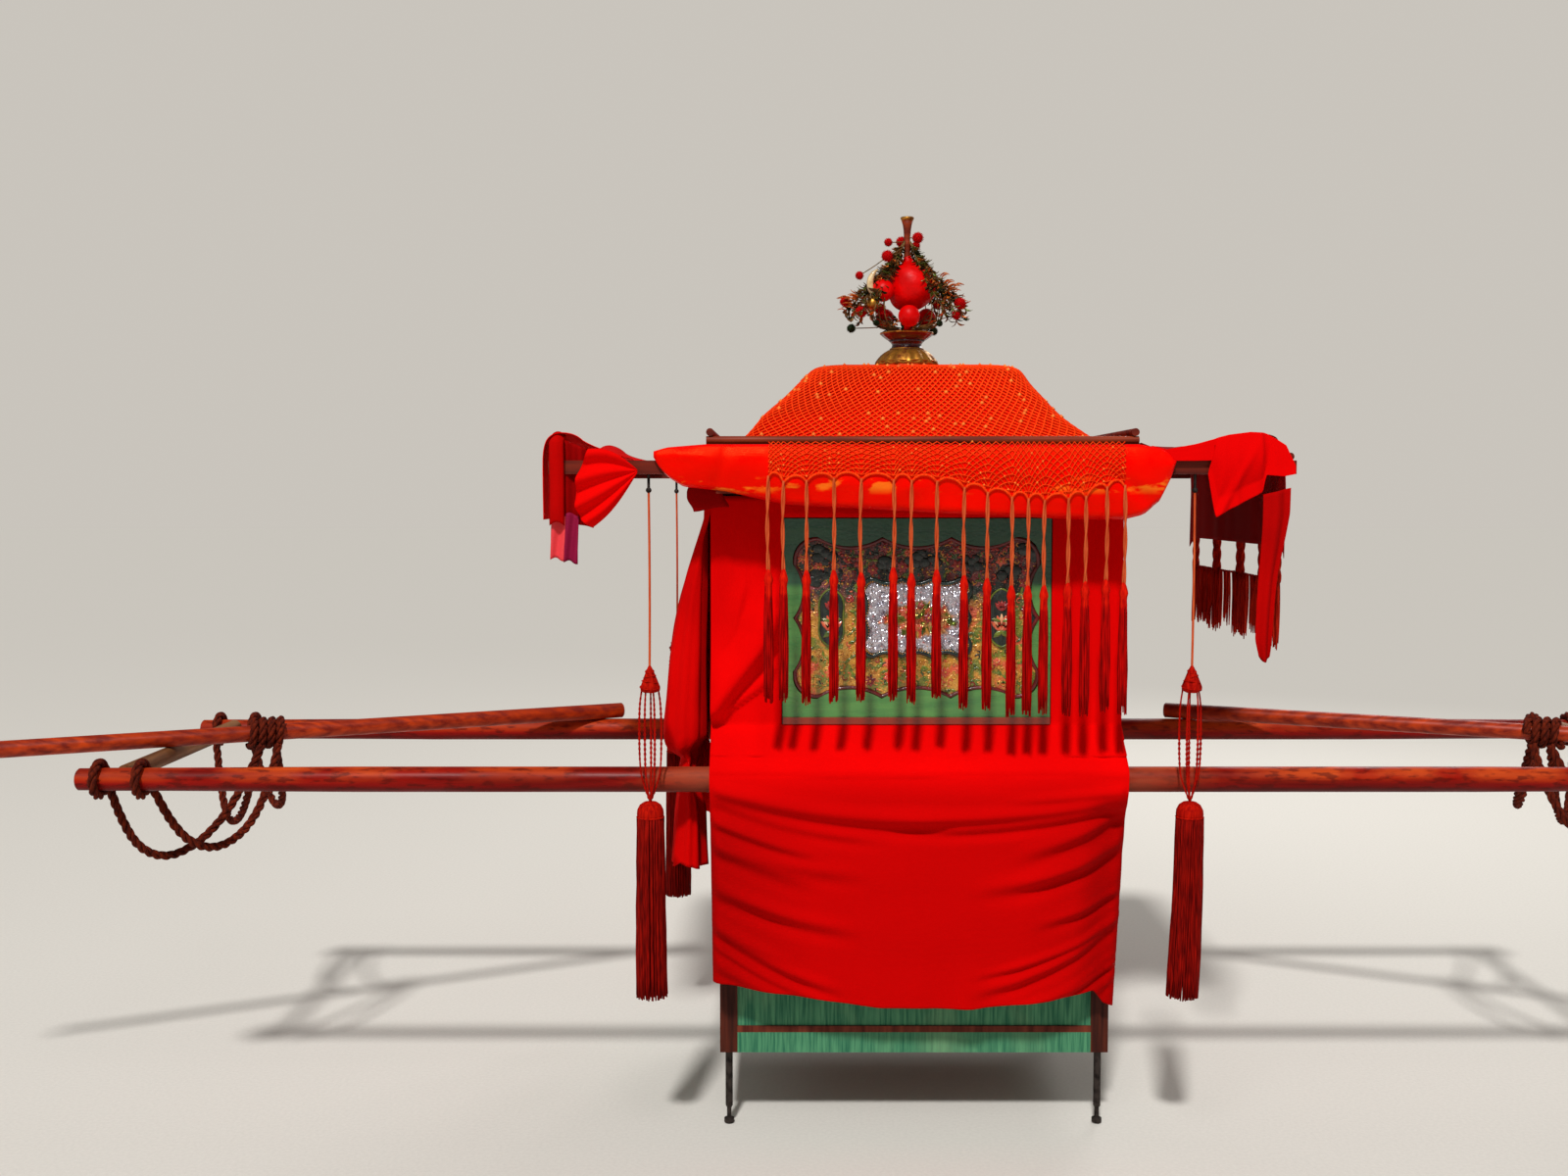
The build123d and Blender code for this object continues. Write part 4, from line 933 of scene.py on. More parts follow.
# Sections of the roof: height above its foot, half length, half width
ROOF_LINE = [
    (0, 0.405, 0.385), (0.030, 0.372, 0.350), (0.056, 0.343, 0.322), (0.090, 0.312, 0.289),
    (0.120, 0.284, 0.260), (0.155, 0.254, 0.228), (0.180, 0.236, 0.208), (0.193, 0.224, 0.198),
    (0.200, 0.203, 0.180), (0.202, 0.170, 0.150),
]
ROOF_ROWS, ROOF_COLUMNS, NET_COLUMNS = 40, 140, 150
NET_CORD_RADIUS, HANGING_CORD_RADIUS = 0.0024, 0.0013
# Bright gold knots, partly gold thread and partly painted highlight: size, and the share of the crossings
# that have one
ROOF_KNOT, KNOT_SHARE = 0.0060, 0.045
HANGING_KNOT, HANGING_KNOT_SHARE = 0.003, 0.05
CROWN_RIMS, CROWN_PITCH = (0.8, 0.5, 0.2), 0.014
ROOF_SECTIONS = smooth_line(ROOF_LINE, ROOF_ROWS + 1, 3)


def round_box(half_x, half_y, radius, share):
    """A point on a rectangle with round corners, by the share of its way round from the middle of -Y."""
    sx, sy = half_x - radius, half_y - radius
    arc = math.pi / 2 * radius
    run = (share % 1) * 4 * (sx + sy + arc) - sx
    if run < 0:
        return sx + run, -half_y
    corners = ((sx, -sy, 2 * sy), (sx, sy, 2 * sx), (-sx, sy, 2 * sy), (-sx, -sy, 2 * sx))
    for quarter, (cx, cy, length) in enumerate(corners):
        if run < arc:
            return around(cx, cy, (quarter - 1) * math.pi / 2 + run / radius, radius)
        run -= arc
        if run < length:
            break
        run -= length
    nx, ny = ((1, 0), (0, 1), (-1, 0), (0, -1))[quarter]
    return cx + radius * nx - run * ny, cy + radius * ny + run * nx


def roof_point(share, row, lift=0.0):
    """A point of the roof: the share of the way round, and the row of its height."""
    high, half_x, half_y = ROOF_SECTIONS[row]
    corner = 0.022 + 0.03 * row / ROOF_ROWS
    x, y = round_box(half_x + lift, half_y + lift, corner, share)
    slip = 0.008 * bell(high, 0.195, 0.03) - 0.009 * bell(high, 0.085, 0.035)
    return x + slip, y, ROOF_LOW + high + lift * (0.5 + 0.5 * row / ROOF_ROWS)


def roof_cloth():
    """Smooth cloth over the roof, closed by a flat crown."""
    points = [roof_point(c / ROOF_COLUMNS, r) for r in range(ROOF_ROWS + 1) for c in range(ROOF_COLUMNS)]
    rim = points[-ROOF_COLUMNS:]
    for share in CROWN_RIMS:
        points += [(x * share, y * share, z) for x, y, z in rim]
    rows = ROOF_ROWS + 1 + len(CROWN_RIMS)
    faces = grid_faces(rows, ROOF_COLUMNS, loop_columns=True)
    faces.append(tuple(range((rows - 1) * ROOF_COLUMNS, rows * ROOF_COLUMNS)))
    shape = Shape()
    shape.add(points, faces)
    made = shape.piece("roof_cloth", ROOF_CLOTH, "red_cloth", ["roof_shell"], CLOTH_THICK)


def add_links(shape, links, radius):
    """Short three-sided cords between pairs of points, all at once."""
    start, end = np.array(links, float).transpose(1, 0, 2)
    along = end - start
    along /= np.linalg.norm(along, axis=1)[:, None]
    helper = np.where(np.abs(along[:, 2:3]) < 0.9, (0.0, 0.0, 1.0), (1.0, 0.0, 0.0))
    across = np.cross(along, helper)
    across /= np.linalg.norm(across, axis=1)[:, None]
    up = np.cross(along, across)
    turn = np.array(turns(3))[None, :, None]
    ring = (np.cos(turn) * across[:, None] + np.sin(turn) * up[:, None]) * radius
    points = np.concatenate([start[:, None] + ring, end[:, None] + ring], axis=1).reshape(-1, 3)
    faces = []
    for b in range(0, 6 * len(links), 6):
        faces += [(b, b + 1, b + 4, b + 3), (b + 1, b + 2, b + 5, b + 4), (b + 2, b, b + 3, b + 5)]
    shape.add(points, faces)


def add_knots(shape, places, r, tone):
    """Small eight-sided knots."""
    faces = [(0, 1, 4), (1, 2, 4), (2, 3, 4), (3, 0, 4), (1, 0, 5), (2, 1, 5), (3, 2, 5), (0, 3, 5)]
    for x, y, z in places:
        tips = [(x + r, y, z), (x, y + r, z), (x - r, y, z), (x, y - r, z), (x, y, z + r), (x, y, z - r)]
        shape.add(tips, faces, tone)


# X of the near net's strings, from the rear: uneven, as they hang
STRING_X = [
    -0.317, -0.286, -0.239, -0.183, -0.127, -0.061, -0.024, 0.028, 0.0845,
    0.132, 0.182, 0.2155, 0.249, 0.2975, 0.333, 0.375, 0.413,
]
# Lower edge of the hanging net: X, height
NET_EDGE = [
    (-0.33, 1.425), (-0.28, 1.408), (-0.18, 1.417), (0.03, 1.410), (0.09, 1.396), (0.18, 1.378),
    (0.25, 1.371), (0.33, 1.378), (0.37, 1.398), (0.43, 1.403),
]
CELLS_BETWEEN, HANG_ROWS = 3, 14


def hanging_point(column, row):
    """A knot of the net over the valance: column in cells from the first string, row from the eave."""
    cells = column / CELLS_BETWEEN
    x = float(np.interp(cells, range(len(STRING_X)), STRING_X))
    share = row / HANG_ROWS
    between = abs((cells % 1) - 0.5) * 2
    low = along_table(x, NET_EDGE)[0] + 0.015 * (1 - between ** 2.5)
    z = TRAY_TOP + 0.004 + (low - TRAY_TOP - 0.004) * share
    top, bottom = along_table(x, SWAG_TOP)[0], along_table(x, SWAG_LOW)[0]
    _, y, _ = swag_point(x, float(np.clip((top - z) / (top - bottom), 0, 1)), -1)
    return x, y - 0.0028, z


def roof_net(draw):
    """Diamond net over the roof's slopes and its crown, with bright gold knots on some crossings, partly gold
    thread and partly painted highlight.
    """
    shape, links, knots = Shape(), [], []
    lift = NET_CORD_RADIUS * 1.1
    for row in range(ROOF_ROWS):
        for c in range(NET_COLUMNS):
            column = c + 0.5 * (row % 2)
            at = roof_point(column / NET_COLUMNS, row, lift)
            for step in (0.5, -0.5):
                links.append((at, roof_point((column + step) / NET_COLUMNS, row + 1, lift)))
            if draw.random() < KNOT_SHARE:
                knots.append(at)
    high, half_x, half_y = ROOF_SECTIONS[-1]
    top = ROOF_LOW + high + lift
    count = int(2 * max(half_x, half_y) / CROWN_PITCH) + 2
    step = CROWN_PITCH / 2
    for i in range(-count, count):
        for j in range(-count, count):
            a = ((i + j) * step, (i - j) * step)
            for b in ((a[0] + step, a[1] + step), (a[0] + step, a[1] - step)):
                if all(abs(x) < half_x and abs(y) < half_y for x, y in (a, b)):
                    links.append(((*a, top), (*b, top)))
    add_links(shape, links, NET_CORD_RADIUS)
    add_knots(shape, knots, ROOF_KNOT, 1)
    return shape


def hanging_net(draw):
    """The same net down over the near valance, with a stouter cord along its lower edge."""
    shape, links, knots = Shape(), [], []
    last = (len(STRING_X) - 1) * CELLS_BETWEEN
    for row in range(HANG_ROWS):
        for c in range(last + 1):
            column = c + 0.5 * ((HANG_ROWS - row) % 2)
            if column > last:
                continue
            at = hanging_point(column, row)
            for step in (0.5, -0.5):
                if 0 <= column + step <= last:
                    links.append((at, hanging_point(column + step, row + 1)))
            if draw.random() < HANGING_KNOT_SHARE:
                knots.append(at)
    add_links(shape, links, HANGING_CORD_RADIUS)
    add_knots(shape, knots, HANGING_KNOT, 1)
    for k in range(len(STRING_X) - 1):
        arch = [hanging_point((k + s) * CELLS_BETWEEN, HANG_ROWS) for s in np.linspace(0, 1, 9)]
        shape.tube([(x, y - 0.001, z) for x, y, z in arch], 2 * HANGING_CORD_RADIUS, 5)
    return shape


def nets():
    """The roof's net and the two that hang from it, by their names."""
    draw = random.Random(21)
    looks = [NET_CORD, GLINT]
    pieces = {"roof": roof_net(draw).piece("roof_net_cords", looks, "net", ["roof_net"])}
    near = hanging_net(draw)
    pieces["near"] = near.piece("near_hanging_net", looks, "net", ["side_fringes"])
    pieces["far"] = near.mirrored().piece("far_hanging_net", looks, "net")
    return pieces


roof_cloth()
NETS = nets()


# Small tassels

FRINGE_X = (edge("front_fringe", 0, LOW) + edge("front_fringe", 0, HIGH)) / 2
FRONT_NET_TOP, FRINGE_LOW = 1.290, 1.196
FRINGE_BANDS, BAND_HALF = (0.390, 0.196, 0.0, -0.165, -0.262), 0.021
SKIRT_STRANDS, BAND_CORDS, FRINGE_THREADS = 13, 5, 210
# Head of a small tassel: radius, height over its middle; its last row is the skirt's foot
HEAD_ROWS = [
    (0.0035, 0.013), (0.0062, 0.005), (0.0090, -0.005), (0.0096, -0.010), (0.0078, -0.017),
    (0.0072, -0.025), (0.0080, -0.034), (0.0070, -0.044),
]
# Threads of its skirt: share of the drop, width
STRAND_ROWS = ((0, 0.0018), (0.12, 0.0022), (0.35, 0.0023), (0.6, 0.0023), (0.82, 0.0021), (1, 0.0013))


def small_tassel(cords, threads, x, y, top, head, bottom, draw):
    """A doubled cord, a bound head and a skirt of threads."""
    sway = draw.uniform(-0.003, 0.003)
    path = smooth_line([(x, y, top), (x + sway, y, (top + head) / 2), (x, y, head + 0.004)], 16, 2)
    cords.twist(path, 0.0092, strands=2, lay=16, sides=6)
    threads.lathe(HEAD_ROWS + [(0.0055, bottom + 0.014 - head)], (x, y, head), 9, 1)
    for spoke in turns(SKIRT_STRANDS):
        turn = spoke + draw.uniform(-0.15, 0.15)
        low = bottom + draw.uniform(-0.006, 0.010)
        line = []
        for share, _ in STRAND_ROWS:
            z = head - 0.020 + (low - head + 0.020) * share
            reach = 0.0056 + 0.0026 * min(1, share * 2) + draw.uniform(-0.0009, 0.0009)
            line.append((*around(x, y, turn + share * 0.3, reach), z))
        threads.tube(line, [width for _, width in STRAND_ROWS], 4)


def side_tassels():
    """The near and far rows of tassels under the hanging nets."""
    for name, sign in SIDES:
        draw = random.Random(31 + sign)
        cords, threads = Shape(), Shape()
        for k, x in enumerate(STRING_X):
            _, y, z = hanging_point(k * CELLS_BETWEEN, HANG_ROWS)
            head = 1.219 - 0.026 * ease(-0.05, 0.2, x) + draw.uniform(-0.007, 0.007)
            bottom = head - 0.254 + draw.uniform(-0.008, 0.006)
            small_tassel(cords, threads, x, y - 0.001, z + 0.004, head, bottom, draw)
        if name == "far":
            cords, threads = cords.mirrored(), threads.mirrored()
        cords.piece(f"{name}_fringe_cords", STRING, "tassel_thread")
        threads.piece(f"{name}_fringe_tassels", [TASSEL, TASSEL_HEAD], "tassel_thread")


side_tassels()


def front_fringe():
    """Bands of cord with open squares between, under the awning's flap, and ragged threads below."""
    draw = random.Random(44)
    net, threads = Shape(), Shape()
    far, near = FRINGE_BANDS[0] + BAND_HALF * 0.6, FRINGE_BANDS[-1] - BAND_HALF * 0.8
    for z in (FRONT_NET_TOP - 0.004, FRINGE_LOW + 0.006):
        line = [(FRINGE_X, y, z + 0.002 * ripple(y * 12, z)) for y in np.linspace(near, far, 70)]
        net.twist(line, 0.008, strands=2, sides=5)
    for middle in FRINGE_BANDS:
        for k in range(BAND_CORDS):
            y = float(np.clip(middle + (k / (BAND_CORDS - 1) * 2 - 1) * BAND_HALF, near, far))
            lean = 0.003 * draw.uniform(-1, 1)
            line = smooth_line([(FRINGE_X, y, FRONT_NET_TOP), (FRINGE_X, y + lean, FRINGE_LOW)], 14, 0)
            net.twist(line, 0.0105, strands=2, lay=6, sides=5)
    for k in range(FRINGE_THREADS):
        y = near + (far - near) * (k + draw.uniform(0.2, 0.8)) / FRINGE_THREADS
        tuft = ripple(y * 26, 1.7)
        thick = y > 0.16 or abs(y) < 0.055 or y < -0.24
        if not thick and draw.random() < 0.62:
            continue
        low = (1.066 if thick else 1.085) + 0.016 * tuft + draw.uniform(-0.012, 0.012)
        deep = FRINGE_X + draw.uniform(-0.005, 0.005)
        sway = draw.uniform(-0.004, 0.004) + 0.005 * ripple(y * 9, 4.1)
        drop = [(deep, y, FRINGE_LOW + 0.008), (deep + 0.002, y + sway * 0.3, 1.16), (deep, y + sway, low)]
        threads.tube(smooth_line(drop, 7, 1), [0.0021] * 5 + [0.0019, 0.0012], 4)
    net.piece("front_fringe_net", FRINGE_THREAD, "tassel_thread", ["front_fringe"])
    threads.piece("front_fringe_threads", FRINGE_THREAD, "tassel_thread")


front_fringe()


# Long tassels

CAP_TOP = 0.743
# Its turned knot and cap: radius, height from the top
KNOT_ROWS = [
    (0.002, 0.001), (0.0055, -0.006), (0.0105, -0.018), (0.0160, -0.033), (0.0200, -0.044),
    (0.0195, -0.052), (0.0120, -0.056),
]
CAP_ROWS = [
    (0.004, 0.002), (0.014, 0), (0.0225, -0.006), (0.0275, -0.016), (0.0285, -0.026), (0.0265, -0.034),
]
# Threads of a long tassel's skirt: radius of their ring, count, width
SKIRT_RINGS = ((0.0270, 46, 0.0025), (0.0215, 26, 0.0030), (0.0120, 12, 0.0042))


def long_tassel(cords, caps, threads, x, y, lean, draw):
    """A bound knot, an open stretch of looped cords, a cap, and a long skirt of threads."""
    caps.lathe(KNOT_ROWS, (x, y, LONG_TOP), 20, 0, 0.10, 5)
    for k in range(4):
        level = circle(x, y, LONG_TOP - 0.012 - 0.011 * k, 0.0085 + 0.0038 * k, 24)
        ring = [(px, py, pz + 0.003 * math.sin(t + 2 * k)) for (px, py, pz), t in zip(level, turns(24))]
        caps.tube(ring, 0.0016, 5, closed=True)
    for k in range(5):
        spread = 0.0215 * (k - 2) / 2 + draw.uniform(-0.0015, 0.0015)
        deep = 0.008 * (-1) ** k
        line = smooth_line([
            (x + spread * 0.75, y + deep, LONG_TOP - 0.050), (x + spread * 1.02, y + deep, 0.94),
            (x + spread, y + deep, 0.81), (x + spread * 0.55, y + deep * 0.6, 0.775), (x, y, CAP_TOP),
        ], 24)
        cords.twist(line, 0.0066, strands=2, lay=3, sides=5)
    caps.lathe(CAP_ROWS, (x, y, CAP_TOP), 24)
    caps.tube(circle(x, y, CAP_TOP - 0.031, 0.0275, 30), 0.0022, 5, closed=True)
    for ring_radius, count, width in SKIRT_RINGS:
        for spoke in turns(count):
            turn = spoke + draw.uniform(-0.05, 0.05)
            low = LONG_BOTTOM + 0.003 + draw.uniform(0, 0.012) ** 1.2
            line = []
            for share in np.linspace(0, 1, 9):
                reach = ring_radius * (0.98 + 0.20 * share) + draw.uniform(-0.0009, 0.0009)
                z = CAP_TOP - 0.030 + (low - CAP_TOP + 0.030) * share
                px, py = around(x, y, turn, reach)
                line.append((px + lean * share ** 2, py, z))
            threads.tube(line, [width] * 8 + [width * 0.6], 4)


def long_tassels():
    """The four at the beams' ends, of which the front ones lean a little."""
    cords, caps, threads = Shape(), Shape(), Shape()
    for end, sx in ENDS:
        for _, sy in SIDES:
            draw = random.Random(70 + 2 * sx + sy)
            lean = -0.010 if end == "front" else 0.001
            long_tassel(cords, caps, threads, sx * TASSEL_X, sy * BEAM_Y, lean, draw)
    cords.piece("long_tassel_loops", LONG_HEAD, "tassel_thread", ["long_tassels"])
    caps.piece("long_tassel_knots", LONG_HEAD, "tassel_thread")
    threads.piece("long_tassel_skirts", DARK_TASSEL, "tassel_thread")


long_tassels()


# Cloth at the ends

# Lines that the awning, the rear rod's cloth and the rear curtain follow: X, height
AWNING_LINE = [
    (0.449, 1.4925), (0.480, 1.481), (0.512, 1.474), (0.560, 1.487), (0.628, 1.507), (0.672, 1.5125),
    (0.710, 1.511), (0.738, 1.500), (0.760, 1.482), (0.775, 1.452), (0.7785, 1.40), (0.7785, 1.33),
    (0.7785, 1.275),
]
ROD_CLOTH_LINE = [
    (-0.779, 1.335), (-0.780, 1.43), (-0.779, 1.480), (-0.768, 1.507), (-0.742, 1.516),
    (-0.712, 1.508), (-0.690, 1.488), (-0.606, 1.463),
]
REAR_LINE = [
    (-0.4445, 1.383), (-0.452, 1.34), (-0.468, 1.29), (-0.500, 1.185), (-0.520, 1.05), (-0.531, 0.93),
    (-0.537, 0.87), (-0.536, 0.838), (-0.518, 0.820), (-0.500, 0.808), (-0.503, 0.77), (-0.512, 0.68),
    (-0.520, 0.575),
]
# Side cloth of the awning: share of its length, X and height of its top, X and height of its foot
LAPPET = (
    (0, 0.470, 1.486, 0.470, 1.460), (0.07, 0.500, 1.4785, 0.500, 1.455),
    (0.19, 0.560, 1.4895, 0.560, 1.455), (0.28, 0.598, 1.500, 0.603, 1.456),
    (0.33, 0.606, 1.503, 0.584, 1.432), (0.42, 0.628, 1.5085, 0.600, 1.339),
    (0.62, 0.672, 1.514, 0.650, 1.366), (0.775, 0.700, 1.5125, 0.699, 1.391),
    (0.795, 0.708, 1.510, 0.706, 1.426), (0.90, 0.745, 1.487, 0.740, 1.423), (1, 0.766, 1.444, 0.765, 1.428),
)
# The streamer under it: share of its drop, X of its two edges
STREAMER = (
    (0, 0.700, 0.757), (0.15, 0.699, 0.755), (0.5, 0.694, 0.734), (0.9, 0.689, 0.724), (1, 0.696, 0.719),
)
# Free edge of the rear fan: share, X, height
FAN_EDGE = (
    (0, -0.686, 1.479), (0.3, -0.712, 1.420), (0.6, -0.714, 1.361), (0.8, -0.702, 1.333), (1, -0.680, 1.318),
)
FAN_KNOT = (-0.586, 1.434)
# Foot of the inner cloth behind it, coloured dark as painted shade: share, height
INNER_CLOTH_FOOT = ((0, 1.328), (0.6, 1.322), (0.85, 1.317), (1, 1.345))
EAVE_CORNER = 0.396
# Inner edge of the rear curtain at its sides: height, X
REAR_EDGE = ((0.57, -0.446), (0.70, -0.452), (0.80, -0.474), (0.83, -0.468), (0.86, -0.4425), (1.39, -0.4425))


def sheet_piece(name, look, place, rows, columns, replaces=()):
    """A sheet from a formula of two shares, across and down."""
    shape = Shape()
    points = [place(c / (columns - 1), r / (rows - 1)) for r in range(rows) for c in range(columns)]
    shape.add(points, grid_faces(rows, columns))
    return shape.piece(name, look, "red_cloth", replaces, CLOTH_THICK)


def awning():
    """Cloth from the eave up to the front rod and over it, with a flap in front and a lappet at its side."""
    half = edge("front_awning", 1, HIGH)
    route = smooth_line(AWNING_LINE, 70, 2)

    def place(u, v):
        y = (2 * u - 1) * half
        x, z = route[round(v * (len(route) - 1))]
        middle = 1 - (2 * u - 1) ** 2
        sag = -0.020 * middle * bell(x, 0.62, 0.09) + 0.010 * middle * bell(x, 0.512, 0.03)
        over = 1 - ease(0.74, 0.77, x)
        folds = 0.004 * ripple(y * 9, x * 14, 4) * over + 0.005 * ripple(y * 16, z * 3, 7) * (1 - over)
        dip = 0.025 * (1 - middle) ** 8 * ease(1.34, 1.27, z)
        if y < -0.2:
            y = -0.2 + (y + 0.2) * (1 - 0.435 * ease(0.72, 0.776, x))
        forward, upward = (folds, 0) if over < 0.5 else (0, folds)
        return x + forward, y, z + sag * over - dip + upward

    # The awning's cloth is coloured dark as painted shade.
    top = sheet_piece("front_awning_cloth", SHADED_RED_CLOTH, place, 70, 60, ["front_awning"])

    def lappet(u, v):
        x0, z0, x1, z1 = along_table(u, LAPPET)
        x, z = x0 + (x1 - x0) * v, z0 + (z1 - z0) * v
        out = 0.014 * math.sin(math.pi * min(1, v * 1.3)) * ease(0.28, 0.42, u) * ease(0.82, 0.74, u)
        out += 0.009 * bell((u - 0.60) + 0.30 * (v - 0.5), 0, 0.05) * v - 0.006 * bell(u, 0.79, 0.03)
        out += 0.006 * bell((u - 0.48) - 0.12 * v, 0, 0.035) * v
        return x, -(half + 0.0105 + out - 0.004 * (1 - v)), z

    flap = sheet_piece("near_awning_lappet", RED_CLOTH, lappet, 40, 100)

    def streamer(u, v):
        left, right = along_table(v, STREAMER)
        x = left + (right - left) * u
        head = 1.386 + 0.014 * u
        z = head + (1.052 - 0.012 * math.sin(math.pi * u) - head) * v
        fold = 0.010 * bell(u, 0.45, 0.22) - 0.005 * bell(u, 0.8, 0.12)
        return x, -(half + 0.006 + fold + 0.004 * math.sin(7 * v)), z

    ribbon = sheet_piece("near_streamer", DEEP_CLOTH, streamer, 46, 16)


def rear_cloths():
    """Cloth thrown over the rear rod and gathered to the near beam's hook, with pink and purple ends."""
    half = edge("rear_cloth", 1, HIGH)
    route = smooth_line(ROD_CLOTH_LINE, 54, 2)

    def place(u, v):
        y = (2 * u - 1) * half
        x, z = route[round(v * (len(route) - 1))]
        over = ease(-0.76, -0.72, x)
        folds = 0.006 * ripple(y * 8, x * 10, 2)
        sag = 0.022 * (1 - (2 * u - 1) ** 2) * ease(1.44, 1.50, z)
        return x + folds * (1 - over) * 0.6, y, z + folds * (0.3 + 0.7 * over) - sag

    top = sheet_piece("rear_rod_cloth", END_CLOTH, place, 54, 60, ["rear_cloth"])

    def fan(u, v):
        # Pleats that run from a free edge to the hook
        x0, z0 = along_table(u, FAN_EDGE)
        x = x0 + (FAN_KNOT[0] - x0) * v
        z = z0 + (FAN_KNOT[1] + 0.006 * (0.5 - u) - z0) * v
        z += (0.5 - u) * 0.030 * math.sin(math.pi * v)
        pleat = 0.011 * math.sin(u * 7.2 * math.pi + 0.6) * (1 - v) ** 0.7
        return x, -(half + 0.010 + pleat + 0.014 * math.sin(math.pi * v)), z

    def strip(u, v):
        x = -0.767 + 0.030 * u
        z = 1.516 - 0.008 * (2 * u - 1) ** 2 - 0.186 * v
        over = 0.034 * (1 - ease(0, 0.10, v))
        return x, -(half + 0.007 - over + 0.008 * math.sin(math.pi * u) + 0.002 * math.sin(9 * v)), z

    def under(u, v):
        x = -0.742 + 0.075 * u
        low = along_table(u, INNER_CLOTH_FOOT)[0]
        z = 1.500 - 0.030 * u + (low - 1.500 + 0.030 * u) * v
        return x, -(half - 0.010 + 0.005 * math.sin(16 * u)), z

    parts = (
        ("near_rear_fan", END_CLOTH, fan, 48, 36, (0.20, 0.16), "gathered", 0.0185),
        ("near_rear_strip", DEEP_CLOTH, strip, 34, 9, (0.034, 0.20), "hung", None),
        # The inner cloth is coloured dark as painted shade.
        ("near_rear_inner_cloth", SHADED_RED_CLOTH, under, 24, 26, (0.085, 0.175), "hung", None),
    )
    for name, look, place_at, rows, columns, flat, held, area in parts:
        made = sheet_piece(name, look, place_at, rows, columns)
    silks = (("pink", PINK_CLOTH, -0.764, 0.029, 1.252), ("purple", PURPLE_CLOTH, -0.736, 0.028, 1.246))
    for name, look, start, width, low in silks:
        def silk(u, v, start=start, width=width, low=low):
            x = start + width * u - 0.003 * v
            z = 1.345 + (low - 1.345) * v + 0.004 * math.sin(5 * u)
            return x, -(half - 0.002 + 0.005 * math.sin(7 * u + 2 * v)), z

        end = sheet_piece(f"near_{name}_end", look, silk, 16, 9)


def rear_curtain():
    """A drape that bellies out behind the cabin and round its corners, tied in above the shafts."""
    outer = smooth_line(REAR_LINE, 104, 2)
    columns, points = 150, []
    for x, z in outer:
        inner = along_table(z, REAR_EDGE)[0]
        tie = bell(z, 0.812, 0.022)
        half = 0.302 - 0.020 * tie - 0.012 * ease(0.80, 0.70, z)
        full = ease(1.38, 1.0, z)
        belly = 0.010 * full
        corner = [
            (inner, 0.030 - half), (inner - 0.010, 0.014 - half),
            ((inner + x) / 2 - 0.006, -half - 0.003 - belly), (x + 0.012, -half), (x, 0.014 - half),
            (x - belly, -0.14),
        ]
        for px, py in smooth_line(corner + [(a, -b) for a, b in corner[::-1]], columns, 2):
            on_side = abs(py) > half - 0.004
            if on_side:
                # Creases down the side converge on the tie
                share = (px - inner) / min(x - inner, -1e-4)
                deep = 0.0045 * full * math.sin(math.pi * min(1, share))
                crease = deep * math.sin(share * 3.0 * math.pi + 1.2)
                lumps = 0.006 * ripple(px * 60, z * 55, 2) * bell(z, 0.845, 0.03)
                py += math.copysign(crease + abs(lumps), py)
                if z < 0.78:
                    py += math.copysign(0.004 * math.sin(share * 4 * math.pi), py)
            else:
                pleat = abs(math.sin(py * 62)) * (0.003 + 0.007 * full)
                px -= pleat * (1 - 0.5 * tie) - 0.003 * ripple(py * 9, z * 7, 6)
            slant = 0.012 * (px + 0.48) / 0.04 * ease(0.62, 0.575, z) if on_side else 0.0
            points.append((px, py, z - slant))
    shape = Shape()
    shape.add(points, grid_faces(len(outer), columns))
    made = shape.piece("rear_curtain_cloth", END_CLOTH, "red_cloth", ["rear_curtain"], CLOTH_THICK)

    def hanging(u, v):
        # The rear eave's own valance, which turns its corners: seen under the near one, and coloured dark as
        # painted shade
        run = (2 * u - 1) * 0.47
        y = math.copysign(min(abs(run), EAVE_CORNER), run)
        past = max(0.0, abs(run) - EAVE_CORNER)
        low = 1.350 + 0.010 * ease(0.0, 0.055, past)
        z = 1.452 + (low - 1.452) * v
        belly = 0.046 * ease(0, 0.6, v) - 0.014 * ease(0.7, 1, v) - 0.003 * ripple(y * 14, v, 3)
        return 0.004 - TRAY_HALF - belly + past, y, z

    valance = sheet_piece("rear_valance_cloth", SHADED_RED_CLOTH, hanging, 18, 90)


def door_curtain():
    """A gathered curtain on the door rod."""
    low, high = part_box("door_curtain")
    x, half = (low.x + high.x) / 2, high.y

    def place(u, v):
        y = (2 * u - 1) * half
        z = high.z + (low.z - high.z) * v
        depth = 0.0035 + 0.0035 * bell(v, 0.4, 0.4)
        pleat = depth * math.sin(u * 26 * math.pi + 0.8 * math.sin(v * 4))
        return x + pleat + 0.001 * ripple(y * 9, z * 5), y, z

    made = sheet_piece("door_curtain_cloth", DEEP_CLOTH, place, 100, 170, ["door_curtain"])
    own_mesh(made)


awning()
rear_cloths()
rear_curtain()
door_curtain()


# Finial

LOW_Z = edge("finial_base", 2, LOW)
BASE_HEIGHT = edge("finial_base", 2, HIGH) - LOW_Z
BASE_RADIUS = edge("finial_base", 0, HIGH)
BALL_RADIUS = edge("finial_ball", 0, HIGH)
BALL_LOW, BALL_TOP = (edge("finial_ball", 2, end) for end in (LOW, HIGH))
BALL_Z = BALL_LOW + 0.024 + BALL_RADIUS
SPIRE_TOP = edge("finial_spire", 2, HIGH)
